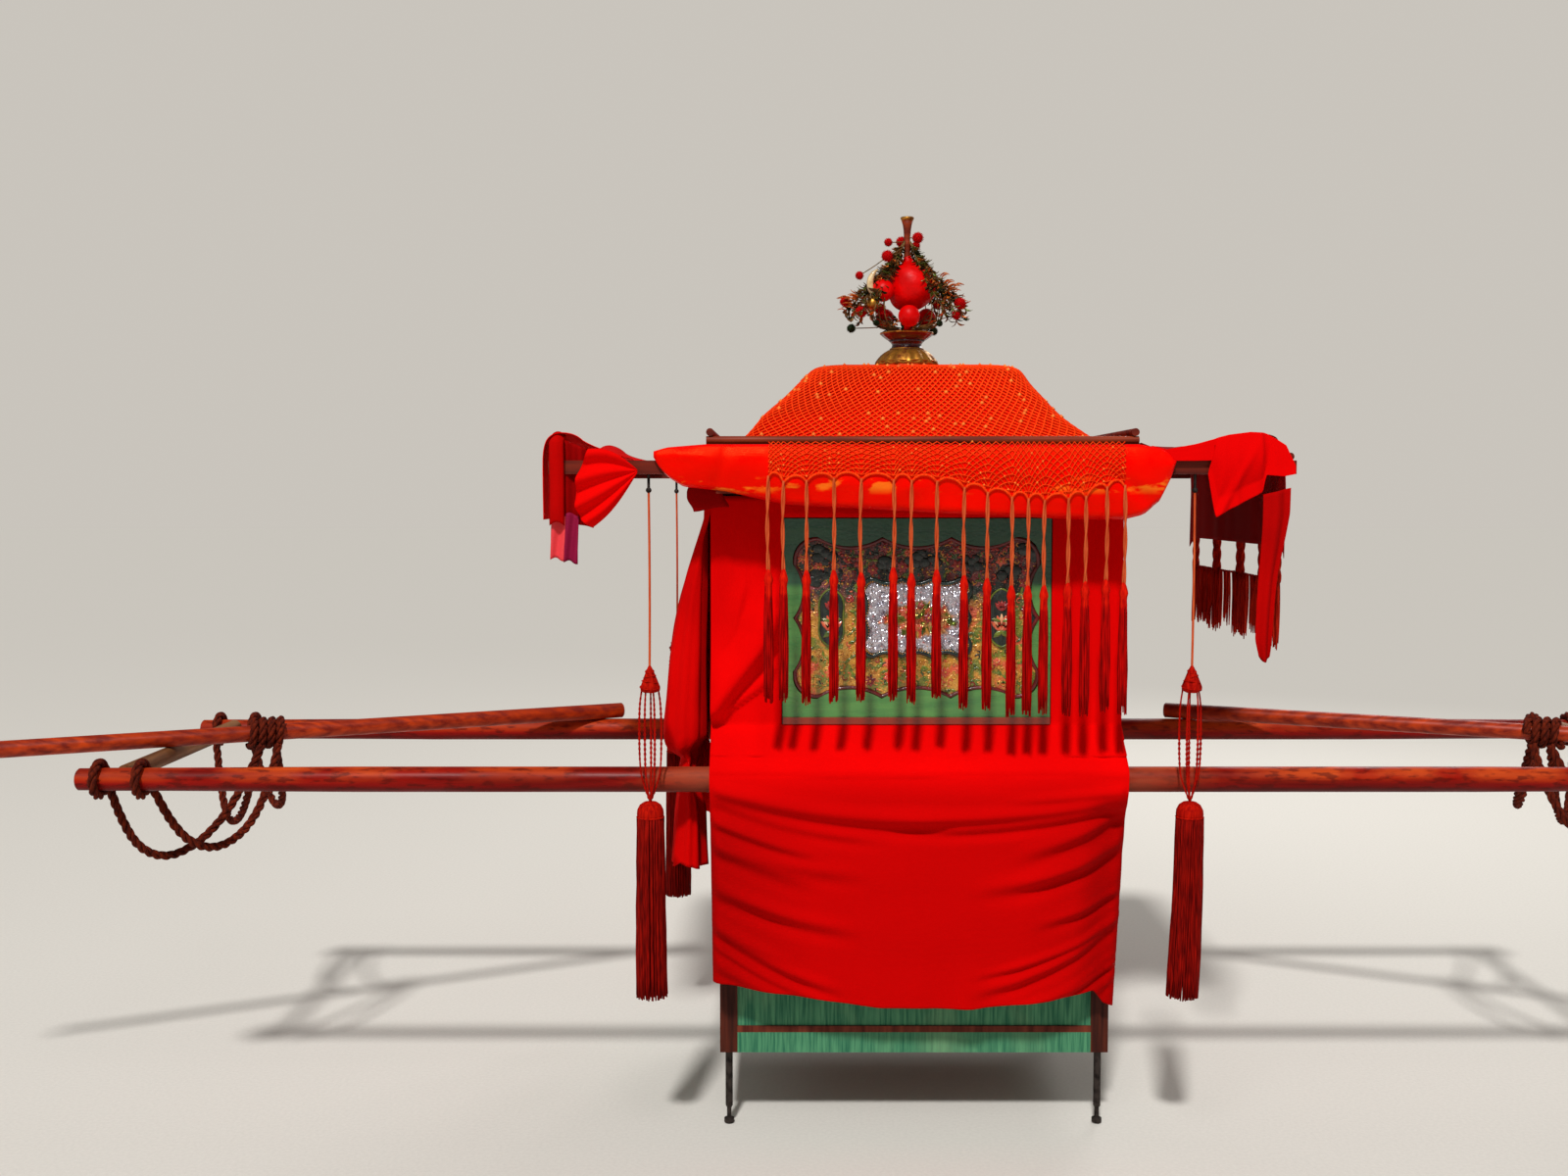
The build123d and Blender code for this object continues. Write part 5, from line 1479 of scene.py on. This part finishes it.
# Turned outline of the base: radius and height as shares of the whole
BASE_ROWS = [
    (0.86, 0.0), (0.97, 0.004), (0.99, 0.05), (0.98, 0.11), (0.93, 0.20), (0.88, 0.25), (0.78, 0.33),
    (0.67, 0.39), (0.55, 0.44), (0.49, 0.475), (0.46, 0.51), (0.45, 0.55), (0.49, 0.59), (0.56, 0.635),
    (0.66, 0.68), (0.75, 0.725), (0.80, 0.765), (0.81, 0.785), (0.79, 0.805), (0.74, 0.81), (0.60, 0.785),
    (0.24, 0.77),
]
# Its bands: first row, last row, look, and how deep its lobes are
BASE_BANDS = ((0, 4, 2, 0.0), (3, 9, 0, 0.035), (8, 14, 1, 0.0), (13, 22, 3, 0.018))
# Its rings: radius and height as shares, thickness
BASE_RINGS = ((0.93, 0.195, 0.0022), (0.50, 0.455, 0.0024), (0.805, 0.78, 0.0022))
# The spire: radius, and height as a share
SPIRE_ROWS = [
    (0.0075, 0.0), (0.0080, 0.10), (0.0070, 0.22), (0.0072, 0.31), (0.0092, 0.36), (0.0072, 0.42),
    (0.0076, 0.56), (0.0086, 0.70), (0.0104, 0.82), (0.0130, 0.91), (0.0158, 0.975), (0.0150, 1.0),
    (0.0110, 0.985), (0.0030, 0.92),
]
# Small balls that lean on the great one: x, y, z, radius, tone
SMALL_BALLS = (
    (0.000, -0.066, 1.792, 0.0250, 0), (-0.058, -0.040, 1.853, 0.0255, 0),
    (-0.082, -0.052, 1.822, 0.0155, 1), (0.050, 0.046, 1.800, 0.0225, 0), (-0.046, 0.056, 1.800, 0.0225, 0),
)
# Pompoms on the near half of the spray, which the far half repeats turned round: x, y, z, radius, tone
BERRIES = (
    (0.022, -0.030, 1.974, 0.0145, 0), (-0.045, -0.022, 1.965, 0.0110, 0), (-0.050, -0.062, 1.928, 0.0150, 0),
    (-0.112, -0.040, 1.887, 0.0110, 0), (-0.145, -0.020, 1.830, 0.0125, 0),
    (-0.108, -0.050, 1.804, 0.0155, 0), (0.118, -0.050, 1.822, 0.0155, 0), (0.111, -0.040, 1.798, 0.0130, 0),
    (-0.130, -0.030, 1.768, 0.0115, 1), (-0.074, -0.055, 1.778, 0.0085, 1), (0.070, -0.060, 1.776, 0.0085, 1),
)
# Wires from the spire's foot that droop to each side: turn in degrees, reach, end height
BRANCHES = (
    (170, 0.150, 1.812), (186, 0.146, 1.80), (200, 0.140, 1.79), (214, 0.134, 1.80), (228, 0.126, 1.80),
    (312, 0.124, 1.79), (326, 0.130, 1.80), (340, 0.138, 1.79), (354, 0.142, 1.81), (8, 0.142, 1.80),
    (22, 0.138, 1.79), (36, 0.134, 1.80), (50, 0.126, 1.81), (132, 0.126, 1.81), (146, 0.134, 1.79),
    (158, 0.142, 1.80),
)
LEAF_SIZE = (0.022, 0.009)
SPIKES, GOLDEN_TURN = 90, 2.39996


def finial_base():
    """A ribbed gold dome, a dark neck and a flared cup."""
    shape = Shape()
    for first, last, tone, wave in BASE_BANDS:
        profile = [(r * BASE_RADIUS, z * BASE_HEIGHT) for r, z in BASE_ROWS[first:last]]
        shape.lathe(profile, (0, 0, LOW_Z), 64, tone, wave, 16)
    for radius, z, width in BASE_RINGS:
        ring = circle(0, 0, LOW_Z + z * BASE_HEIGHT, radius * BASE_RADIUS, 48)
        shape.tube(ring, width, 6, closed=True)
    shape.piece("finial_base_gilt", [GOLD, DARK_GLAZE, ORANGE_GLAZE, MAROON], "antique_gold", ["finial_base"])


def finial_ball():
    """A peach-shaped red ball that leans a little, on a stem, with small balls leaning on it."""
    shape = Shape()
    centre_z, radius = BALL_Z + 0.014, BALL_RADIUS * 1.13
    profile = [(0.014, LOW_Z + 0.77 * BASE_HEIGHT), (0.010, BALL_LOW + 0.010), (0.017, centre_z - radius)]
    for step in range(2, 25):
        turn = math.radians(180 - 6.4 * step)
        profile.append((radius * math.sin(turn), centre_z + radius * math.cos(turn)))
    top = profile[-1][1]
    profile += [(0.0165, top + 0.004), (0.0125, top + 0.010), (0.0085, top + 0.018), (0.0045, top + 0.027)]
    shape.lathe(profile, (0, 0, 0), 40)
    shape.points = [(x + 0.014 * bell(z, centre_z, 0.045), y, z) for x, y, z in shape.points]
    for x, y, z, r, tone in SMALL_BALLS:
        shape.ball((x, y, z), r, tone, 14, 20)
    # A pale crescent beside the left ball
    arc, swell = np.linspace(-1.2, 1.2, 16), np.linspace(0.12, math.pi - 0.12, 16)
    crescent = [(-0.060 - 0.028 * math.cos(t), -0.044, 1.868 + 0.034 * math.sin(t)) for t in arc]
    shape.tube(crescent, 0.0075 * np.sin(swell) + 0.0005, 8, 2)
    shape.piece("finial_balls", [RED_GLAZE, GOLD, CREAM], "red_ball", ["finial_ball"])


def finial_spire():
    """A brown stem with a bead, opening into a gold mouth."""
    shape = Shape()
    for first, last, tone in ((0, 10, 1), (9, 14, 0)):
        profile = [(r, z * (SPIRE_TOP - BALL_TOP)) for r, z in SPIRE_ROWS[first:last]]
        shape.lathe(profile, (0, 0, BALL_TOP), 24, tone)
    shape.piece("finial_spire_gilt", [GOLD, ROD_WOOD], "antique_gold", ["finial_spire"])


def leaf(shape, at, along, side, length, width, tone):
    """A small bent leaf with a rib, closed by a second face just under the first."""
    at, along, side = np.array(at), np.array(along), np.array(side)
    up = np.cross(along, side)
    rows = []
    for share in (0, 0.25, 0.5, 0.75, 1):
        spread = width * math.sin(math.pi * (0.08 + 0.86 * share)) / 2
        rib = at + along * length * share + up * (0.18 * length * math.sin(math.pi * share))
        rows += [rib - side * spread, rib + up * spread * 0.4, rib + side * spread]
    base = len(rows)
    under = [tuple(np.array(p) - up * 0.0006) for p in rows]
    faces = grid_faces(5, 3)
    faces += [tuple(base + k for k in face[::-1]) for face in grid_faces(5, 3)]
    rim = [0, 3, 6, 9, 12, 13, 14, 11, 8, 5, 2, 1, 0]
    faces += [(b, a, a + base, b + base) for a, b in zip(rim, rim[1:])]
    shape.add(rows + under, faces, tone)


def pompom(shape, at, radius, tone, draw):
    """A ball of short thread ends."""
    shape.ball(at, radius * 0.80, tone, 6, 9)
    for k in range(SPIKES):
        z = 1 - 2 * (k + 0.5) / SPIKES
        turn = k * GOLDEN_TURN + draw.uniform(-0.1, 0.1)
        flat = math.sqrt(1 - z * z)
        way = Vector((flat * math.cos(turn), flat * math.sin(turn), z))
        side = way.orthogonal().normalized() * radius * 0.14
        other = way.cross(side) * 0.87
        foot = Vector(at) + way * radius * 0.66
        tip = Vector(at) + way * radius * draw.uniform(0.96, 1.08)
        corners = [foot + side, foot - side * 0.5 + other, foot - side * 0.5 - other, tip]
        shape.add(corners, [(0, 1, 3), (1, 2, 3), (2, 0, 3), (2, 1, 0)], tone)


def branch(shape, turn, reach, low, draw):
    """A drooping wire with its stay and its leaves."""
    c, s = around(0, 0, math.radians(turn), 1)
    bend = draw.uniform(-0.12, 0.12)
    root = BALL_TOP + 0.022
    path = smooth_line([
        (0.008 * c, 0.008 * s, root + 0.02), (0.30 * reach * c, 0.30 * reach * s, root - 0.032),
        (0.62 * reach * (c - bend * s), 0.62 * reach * (s + bend * c), 0.42 * root + 0.58 * low + 0.004),
        (0.90 * reach * c, 0.90 * reach * s, low + 0.028), (reach * c, reach * s, low),
    ], 34)
    shape.tube(path, 0.0015, 5)
    foot = [(0.020 * c, 0.020 * s, BALL_LOW - 0.008), (0.085 * c, 0.085 * s, BALL_LOW - 0.004)]
    shape.tube(smooth_line(foot + [tuple(path[20])], 20), 0.0012, 5)
    for k in range(2, 34):
        along = path[k] - path[k - 1]
        along /= np.linalg.norm(along)
        for _ in range(2 if 5 < k < 26 else 1):
            spin = draw.uniform(0, math.tau)
            side = np.cross(along, (math.cos(spin), math.sin(spin), draw.uniform(-0.5, 0.5)))
            side /= np.linalg.norm(side)
            way = np.cross(side, along) * 0.75 + along * 0.5
            way /= np.linalg.norm(way)
            tone = draw.choice((0, 0, 0, 1, 2, 3))
            leaf(shape, path[k], way, side, draw.uniform(0.012, 0.024), draw.uniform(0.006, 0.011), tone)


def finial_spray():
    """Leafy wires that fall in a cone from the spire's foot, stays from the stem, and pompoms."""
    draw = random.Random(90)
    wires, balls = Shape(), Shape()
    for turn, reach, low in BRANCHES:
        branch(wires, turn, reach * 0.96, low, draw)
    for _ in range(60):
        turn, reach = draw.uniform(0, math.tau), draw.uniform(0.022, 0.062)
        c, s = around(0, 0, turn, 1)
        z = draw.uniform(BALL_LOW - 0.016, BALL_LOW + 0.014)
        way = Vector((c, s, draw.uniform(-0.3, 0.9))).normalized()
        leaf(wires, (reach * c, reach * s, z), way, (-s, c, 0.0), *LEAF_SIZE, draw.choice((0, 2, 2, 3)))
    for half_turn, share in ((1, 1.0), (-1, 0.5)):
        for x, y, z, r, tone in BERRIES:
            x, y = half_turn * share * x, half_turn * y
            pompom(balls, (x, y, z), r, tone, draw)
            start = (x * 0.4, y * 0.4, BALL_LOW - 0.004)
            if z > BALL_Z:
                start = (x * 0.2, y * 0.2, max(BALL_TOP + 0.022, z) + 0.004)
            knee = (x * 0.62, y * 0.62, start[2] * 0.42 + z * 0.58)
            wires.tube(smooth_line([start, knee, (x, y, z)], 12, 2), 0.0012, 5)
    for centre, near, far, top in ((0.0, 0.075, 0.120, 1.885), (math.pi, 0.120, 0.142, 1.84)):
        for _ in range(30):
            turn, reach = centre + draw.uniform(-0.7, 0.4), draw.uniform(near, far)
            c, s = around(0, 0, turn, 1)
            at = (reach * c, reach * s, draw.uniform(1.81, top))
            leaf(wires, at, (c, s, 0.2), (-s, c, 0.0), *LEAF_SIZE, 3)
    wires.piece("finial_spray_wires", [WIRE, LEAF, DARK_POMPOM, TINSEL], "antique_gold", ["finial_spray"])
    balls.piece("finial_pompoms", [POMPOM, DARK_POMPOM], "pompom")


finial_base()
finial_ball()
finial_spire()
finial_spray()


# Window reliefs

PANEL_BACK = edge("far_window_panel", 1, LOW)
FACE_Y = PANEL_FACE - 0.005
HALF_Z = (PANEL_TOP - PANEL_LOW) / 2
CARTOUCHE = (0.1115, 0.0785)
MEDALLION = (0.029, 0.0625)
MEDALLION_X = 0.183
# What the ornament keeps clear of: X of the middle, half width, half height
FRAMES = ((0, *CARTOUCHE), (-MEDALLION_X, *MEDALLION), (MEDALLION_X, *MEDALLION))
# Scoops along an outline's long and short edges, from and to as shares of its half length
LONG_SCOOPS = ((-0.8, -0.28), (-0.28, 0.28), (0.28, 0.8))
SHORT_SCOOPS = ((-0.66, 0), (0, 0.66))
# Tones of the relief
GRAIN, DARK, RIM, GREENS, PINK, RED, GILT, FOIL, PALE, LINE = range(10)
RELIEF_LOOKS = [GROUND, SHADE_GROUND, MAROON, LEAF, PETAL, BLOOM, SCROLL, SILVER, PEACH, TEAL]
# Flowers in the cartouche: X, height over its middle, size, tone
BOUQUET = (
    (-0.022, 0.012, 0.015, PINK), (0.026, 0.000, 0.012, RED), (0.004, -0.022, 0.011, PINK),
    (0.008, 0.026, 0.010, RED),
)
# Rocks: X, height over the middle, width, height
ROCKS = (
    (-0.200, 0.134, 0.030, 0.022), (0.008, 0.128, 0.044, 0.020), (0.245, 0.139, 0.028, 0.020),
    (-0.210, 0.085, 0.024, 0.020), (0.120, 0.118, 0.022, 0.016), (0.200, 0.095, 0.022, 0.014),
    (-0.075, 0.115, 0.020, 0.014), (0.252, 0.020, 0.010, 0.040),
)
# Scattered ornament: how many, and the room each keeps: flowers, leaves, curls, then buds
SCATTER = ((24, 0.016), (130, 0.008), (240, 0.004), (360, 0.002))


def on_panel(x, out, z):
    """A point that stands out from the near panel's face, with z from its middle."""
    return x, -(FACE_Y + out), PANEL_Z + z


def scooped(half_along, half_out, corner, depth, step, scoops):
    """One edge of an outline from low to high, as (along, out) pairs."""
    count = max(8, int(2 * (half_along - corner) / step))
    made = []
    for a in np.linspace(-half_along + corner, half_along - corner, count):
        out = half_out
        for start, end in scoops:
            low, high = start * half_along, end * half_along
            if low < a < high:
                share = (a - low) / (high - low)
                out = half_out - depth * 4 * share * (1 - share)
        made.append((a, out))
    return made


def bracket_line(half_x, half_z, depth, step=0.0035):
    """A closed bracket outline: round corners, and scoops that meet in outward cusps."""
    corner = half_z * 0.28
    low = [(a, -out) for a, out in scooped(half_x, half_z, corner, depth, step, LONG_SCOOPS)]
    right = [(out, a) for a, out in scooped(half_z, half_x, corner, depth, step, SHORT_SCOOPS)]
    line = []
    for edges, start, sx, sz in ((low, -90, 1, -1), (right, 0, 1, 1)):
        line += edges
        for t in np.linspace(0, 90, 9)[1:-1]:
            turn = math.radians(start + t)
            line.append(around(sx * (half_x - corner), sz * (half_z - corner), turn, corner))
    return line + [(-x, -z) for x, z in line]


def plate(shape, line, back, front, tone, at=0.0, crown=0.0):
    """A slab of an outline, its face slightly crowned."""
    count = len(line)
    steps = ((1, back), (1, front), (0.97, front + 0.0008), (0.6, front + crown * 0.8), (0.25, front + crown))
    points = [(at + x * share, -y, PANEL_Z + z * share) for share, y in steps for x, z in line]
    shape.add(points, capped(len(steps), count), tone)


def inside(line, x, z):
    """Whether a point is within a closed outline."""
    found = False
    for (x0, z0), (x1, z1) in zip(line, line[1:] + line[:1]):
        if (z0 > z) != (z1 > z) and x < (x1 - x0) * (z - z0) / (z1 - z0) + x0:
            found = not found
    return found


def petal(shape, x, z, turn, length, width, rise, tone, up=0.0):
    """A domed petal or leaf on the panel, pointing along turn."""
    c, s = around(0, 0, turn, 1)
    points = []
    for share, wide, domed in ((0.0, 0.25, 0.5), (0.3, 1.0, 1), (0.65, 0.85, 1), (1.0, 0.12, 0.5)):
        along, spread = length * share, width / 2 * wide
        for side, high in ((-1, 0), (-0.5, 0.8), (0.5, 0.8), (1, 0)):
            px, pz = x + c * along - s * spread * side, z + s * along + c * spread * side
            points.append(on_panel(px, up + rise * high * domed, pz))
    shape.add(points, grid_faces(4, 4), tone)


def flower(shape, x, z, size, petals, tone, draw, up=0.0):
    """Two layers of petals round a gold heart."""
    start = draw.uniform(0, 6)
    for layer, (reach, rise) in enumerate(((1.0, 0.0028), (0.62, 0.0042))):
        for turn in turns(petals):
            petal(shape, x, z, start + layer * 0.5 + turn, size * reach, size * 0.72 * reach, rise, tone, up)
    shape.ball(on_panel(x, up + 0.0035, z), size * 0.22, GILT, 5, 7)


def scroll(shape, x, z, turn, size, sign, tone, up=0.0):
    """A curl of raised gold."""
    path = []
    for share in np.linspace(0, 1, 14):
        px, pz = around(x, z, turn + sign * share * 4.4, size * (1 - 0.78 * share))
        path.append(on_panel(px, up + 0.0012, pz))
    shape.tube(path, np.linspace(0.0017, 0.0009, 14), 5, tone)


def lotus(shape, x):
    """A bud with leaves in one of the two medallions."""
    for k in range(-3, 4):
        turn = math.radians(90 + 15 * k)
        petal(shape, x, -0.030, turn, 0.044 - 0.003 * abs(k), 0.015, 0.007, PINK if k % 2 else PALE)
    for k in range(5):
        petal(shape, x, 0.016, math.radians(50 + 20 * k), 0.022, 0.010, 0.003, RED, 0.006)
    for k in (-1, 1):
        petal(shape, x, -0.028, math.radians(-90 + 50 * k), 0.022, 0.012, 0.003, GREENS, 0.004)
        petal(shape, x, -0.008, math.radians(90 - 75 * k), 0.022, 0.010, 0.003, GREENS, 0.004)


def ornament(shape, x, z, spare, draw):
    """A flower, leaves, a curl or a bud, by the room it keeps; brighter tones low on the panel, darker ones
    higher up as painted shade.
    """
    # Painted shade: brighter tones are chosen low on the panel, darker ones higher up where the eave shades
    # it.
    low = 1 - (z + HALF_Z) / (2 * HALF_Z)
    if spare > 0.01:
        tone = draw.choice((PINK, RED, PINK, GILT) if low > 0.45 else (RED, RED, DARK, PINK))
        flower(shape, x, z, draw.uniform(0.010, 0.016), draw.choice((5, 6, 7)), tone, draw)
    elif spare > 0.006:
        tone = draw.choice((GREENS, GILT, GREENS) if low > 0.4 else (GREENS, DARK, RED))
        for _ in range(3):
            petal(shape, x, z, draw.uniform(0, 6.3), draw.uniform(0.010, 0.018), 0.007, 0.003, tone)
    elif spare > 0.003:
        tone = GILT if draw.random() < 0.35 + 0.5 * low else draw.choice((RED, PINK, DARK))
        scroll(shape, x, z, draw.uniform(0, 6.3), draw.uniform(0.005, 0.008), draw.choice((-1, 1)), tone)
    elif draw.random() < 0.5:
        tone = draw.choice((GILT, GILT, PINK, GRAIN) if low > 0.45 else (RED, DARK, PINK, GILT))
        petal(shape, x, z, draw.uniform(0, 6.3), 0.007, 0.004, 0.002, tone)
    else:
        tone = draw.choice((GILT, GRAIN, GILT, PINK) if low > 0.45 else (RED, DARK, GILT))
        shape.ball(on_panel(x, 0.001, z), draw.uniform(0.002, 0.0034), tone, 4, 6)


def relief_shape(seed):
    """The near panel: ground, moulding, cartouche, medallions, and crowded flowers, leaves and curls."""
    draw = random.Random(seed)
    shape = Shape()
    outer = bracket_line(PANEL_HALF, HALF_Z, 0.020)
    plate(shape, outer, PANEL_BACK, FACE_Y, GRAIN)
    shape.tube([on_panel(x * 0.983, 0.002, z * 0.977) for x, z in outer], 0.0048, 8, RIM, closed=True)
    wide, high = MEDALLION
    oval = [(wide * math.cos(t) * (1 - 0.12 * math.cos(4 * t)), high * math.sin(t)) for t in turns(48)]
    for x in (-MEDALLION_X, MEDALLION_X):
        plate(shape, oval, FACE_Y, FACE_Y + 0.0028, DARK, x, 0.001)
        shape.tube([on_panel(x + a, 0.003, b) for a, b in oval], 0.0022, 6, GREENS, closed=True)
        lotus(shape, x)
    cartouche = bracket_line(*CARTOUCHE, 0.009)
    plate(shape, cartouche, FACE_Y, FACE_Y + 0.0035, FOIL, 0.0, 0.0012)
    shape.tube([on_panel(x * 1.040, 0.003, z * 1.06) for x, z in cartouche], 0.0056, 7, LINE, closed=True)
    for x, z in bracket_line(CARTOUCHE[0] * 1.005, CARTOUCHE[1] * 1.005, 0.009, 0.0052):
        shape.ball(on_panel(x, 0.0055, z), 0.0021, GILT, 4, 6)
    for x, z, size, tone in BOUQUET:
        flower(shape, x, z, size, 7, tone, draw, 0.004)
    for _ in range(18):
        turn = draw.uniform(0, math.tau)
        length, width = draw.uniform(0.012, 0.022), draw.uniform(0.006, 0.009)
        x, z = 0.006 + 0.034 * math.cos(turn), -0.002 + 0.022 * math.sin(turn)
        petal(shape, x, z, turn, length, width, 0.0025, draw.choice((GREENS, GREENS, PINK, GILT)), 0.004)
    for _ in range(18):
        side = draw.choice((-1, 1))
        x, z = side * draw.uniform(0.060, 0.096), draw.uniform(-0.055, 0.055)
        scroll(shape, x, z, draw.uniform(0, 6), 0.009, side, FOIL, 0.004)
    for x, z, wide, high in ROCKS:
        for _ in range(9):
            at = on_panel(x + draw.uniform(-0.8, 0.8) * wide, 0.0012, z + draw.uniform(-0.7, 0.7) * high)
            shape.ball(at, draw.uniform(0.009, 0.016), DARK, 5, 8, (1, 0.22, 0.8))
    inner = [(x * 0.966, z * 0.955) for x, z in outer]
    placed = []
    for wanted, spare in SCATTER:
        full = len(placed) + wanted
        for _ in range(wanted * 12):
            if len(placed) == full:
                break
            x, z = draw.uniform(-PANEL_HALF, PANEL_HALF), draw.uniform(-HALF_Z, HALF_Z)
            room = spare + 0.004
            if any(abs(x - a) < b + room and abs(z) < c + room for a, b, c in FRAMES):
                continue
            if not inside(inner, x * (1 + spare * 2), z * (1 + spare * 3)):
                continue
            if any((x - a) ** 2 + (z - b) ** 2 < (1.7 * spare) ** 2 for a, b in placed):
                continue
            placed.append((x, z))
            ornament(shape, x, z, spare, draw)
    return shape


near_relief = relief_shape(5)
near_relief.piece("near_window_relief", RELIEF_LOOKS, "painted_relief", ["near_window_panel"])
near_relief.mirrored().piece("far_window_relief", RELIEF_LOOKS, "painted_relief", ["far_window_panel"])


# Seat cushion

INSET, PAD_STEPS = 0.010, 20


def seat_cushion():
    """A stuffed seat pad, blown up as cloth from a slightly smaller box."""
    low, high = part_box("seat_cushion")
    margin = Vector((INSET, INSET, INSET))
    a, b = low + margin, high - margin
    a.z, b.z = low.z + 0.002, high.z - 0.012
    corners = [(x, y, z) for x in (a.x, b.x) for y in (a.y, b.y) for z in (a.z, b.z)]
    sides = [(0, 1, 3, 2), (4, 6, 7, 5), (0, 4, 5, 1), (2, 3, 7, 6), (0, 2, 6, 4), (1, 5, 7, 3)]
    mesh = bpy.data.meshes.new("seat_pad")
    mesh.from_pydata(corners, [], sides)
    mesh.materials.append(DEEP_CLOTH)
    made = bpy.data.objects.new("seat_pad", mesh)
    bpy.context.scene.collection.objects.link(made)
    remesh = made.modifiers.new("remesh", "REMESH")
    remesh.mode = "VOXEL"
    remesh.voxel_size = 0.009
    settle(made)
    start = np.array([v.co for v in made.data.vertices])
    cloth = made.modifiers.new("cloth", "CLOTH")
    cloth.settings.use_pressure = True
    cloth.settings.uniform_pressure_force = 4
    cloth.settings.effector_weights.gravity = 0
    cloth.settings.quality = 5
    cloth.point_cache.frame_end = PAD_STEPS
    for step in range(1, PAD_STEPS + 1):
        bpy.context.scene.frame_set(step)
    settle(made)
    move = np.array([v.co for v in made.data.vertices]) - start
    far = np.linalg.norm(move, axis=1)[:, None]
    end = start + move * np.minimum(1, INSET / np.maximum(far, 1e-9))
    end[:, 2] = np.clip(end[:, 2], low.z + 0.0005, high.z)
    made.data.vertices.foreach_set("co", end.astype(np.float32).ravel())
    bpy.context.scene.frame_set(1)
    rounded = made.modifiers.new("smooth", "SUBSURF")
    rounded.levels = rounded.render_levels = 1
    settle(made)
    made.data.polygons.foreach_set("use_smooth", [True] * len(made.data.polygons))
    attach(made, "chair")
    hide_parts("seat_cushion")


seat_cushion()


# Finish of the solid pieces

FINISHES = [
    (LACQUER, ("near_shaft", "far_shaft")),
    (GREEN, ("near_window_frame", "far_window_frame")),
    (FADED, ("lower_panels", "front_step_board", "floor_rails")),
    (FRAME_WOOD, ("corner_posts", "waist_rails", "shaft_brackets")),
    (BEAM_WOOD, ("eave_beams", "eave_tray", "top_side_rails", "top_cross_rails", "cross_rods")),
    (ROD_WOOD, ("eave_side_rods", "curtain_rod", "hem_bar")),
    (BARE_WOOD, ("crossbars",)),
    (POLE_WOOD, ("shoulder_poles",)),
    (INNER_WOOD, ("upper_walls", "floor_board", "seat_box")),
    (IRON, ("iron_feet", "tassel_hooks")),
]
for look, names in FINISHES:
    for name in names:
        NODES[name].data.materials.clear()
        NODES[name].data.materials.append(look)
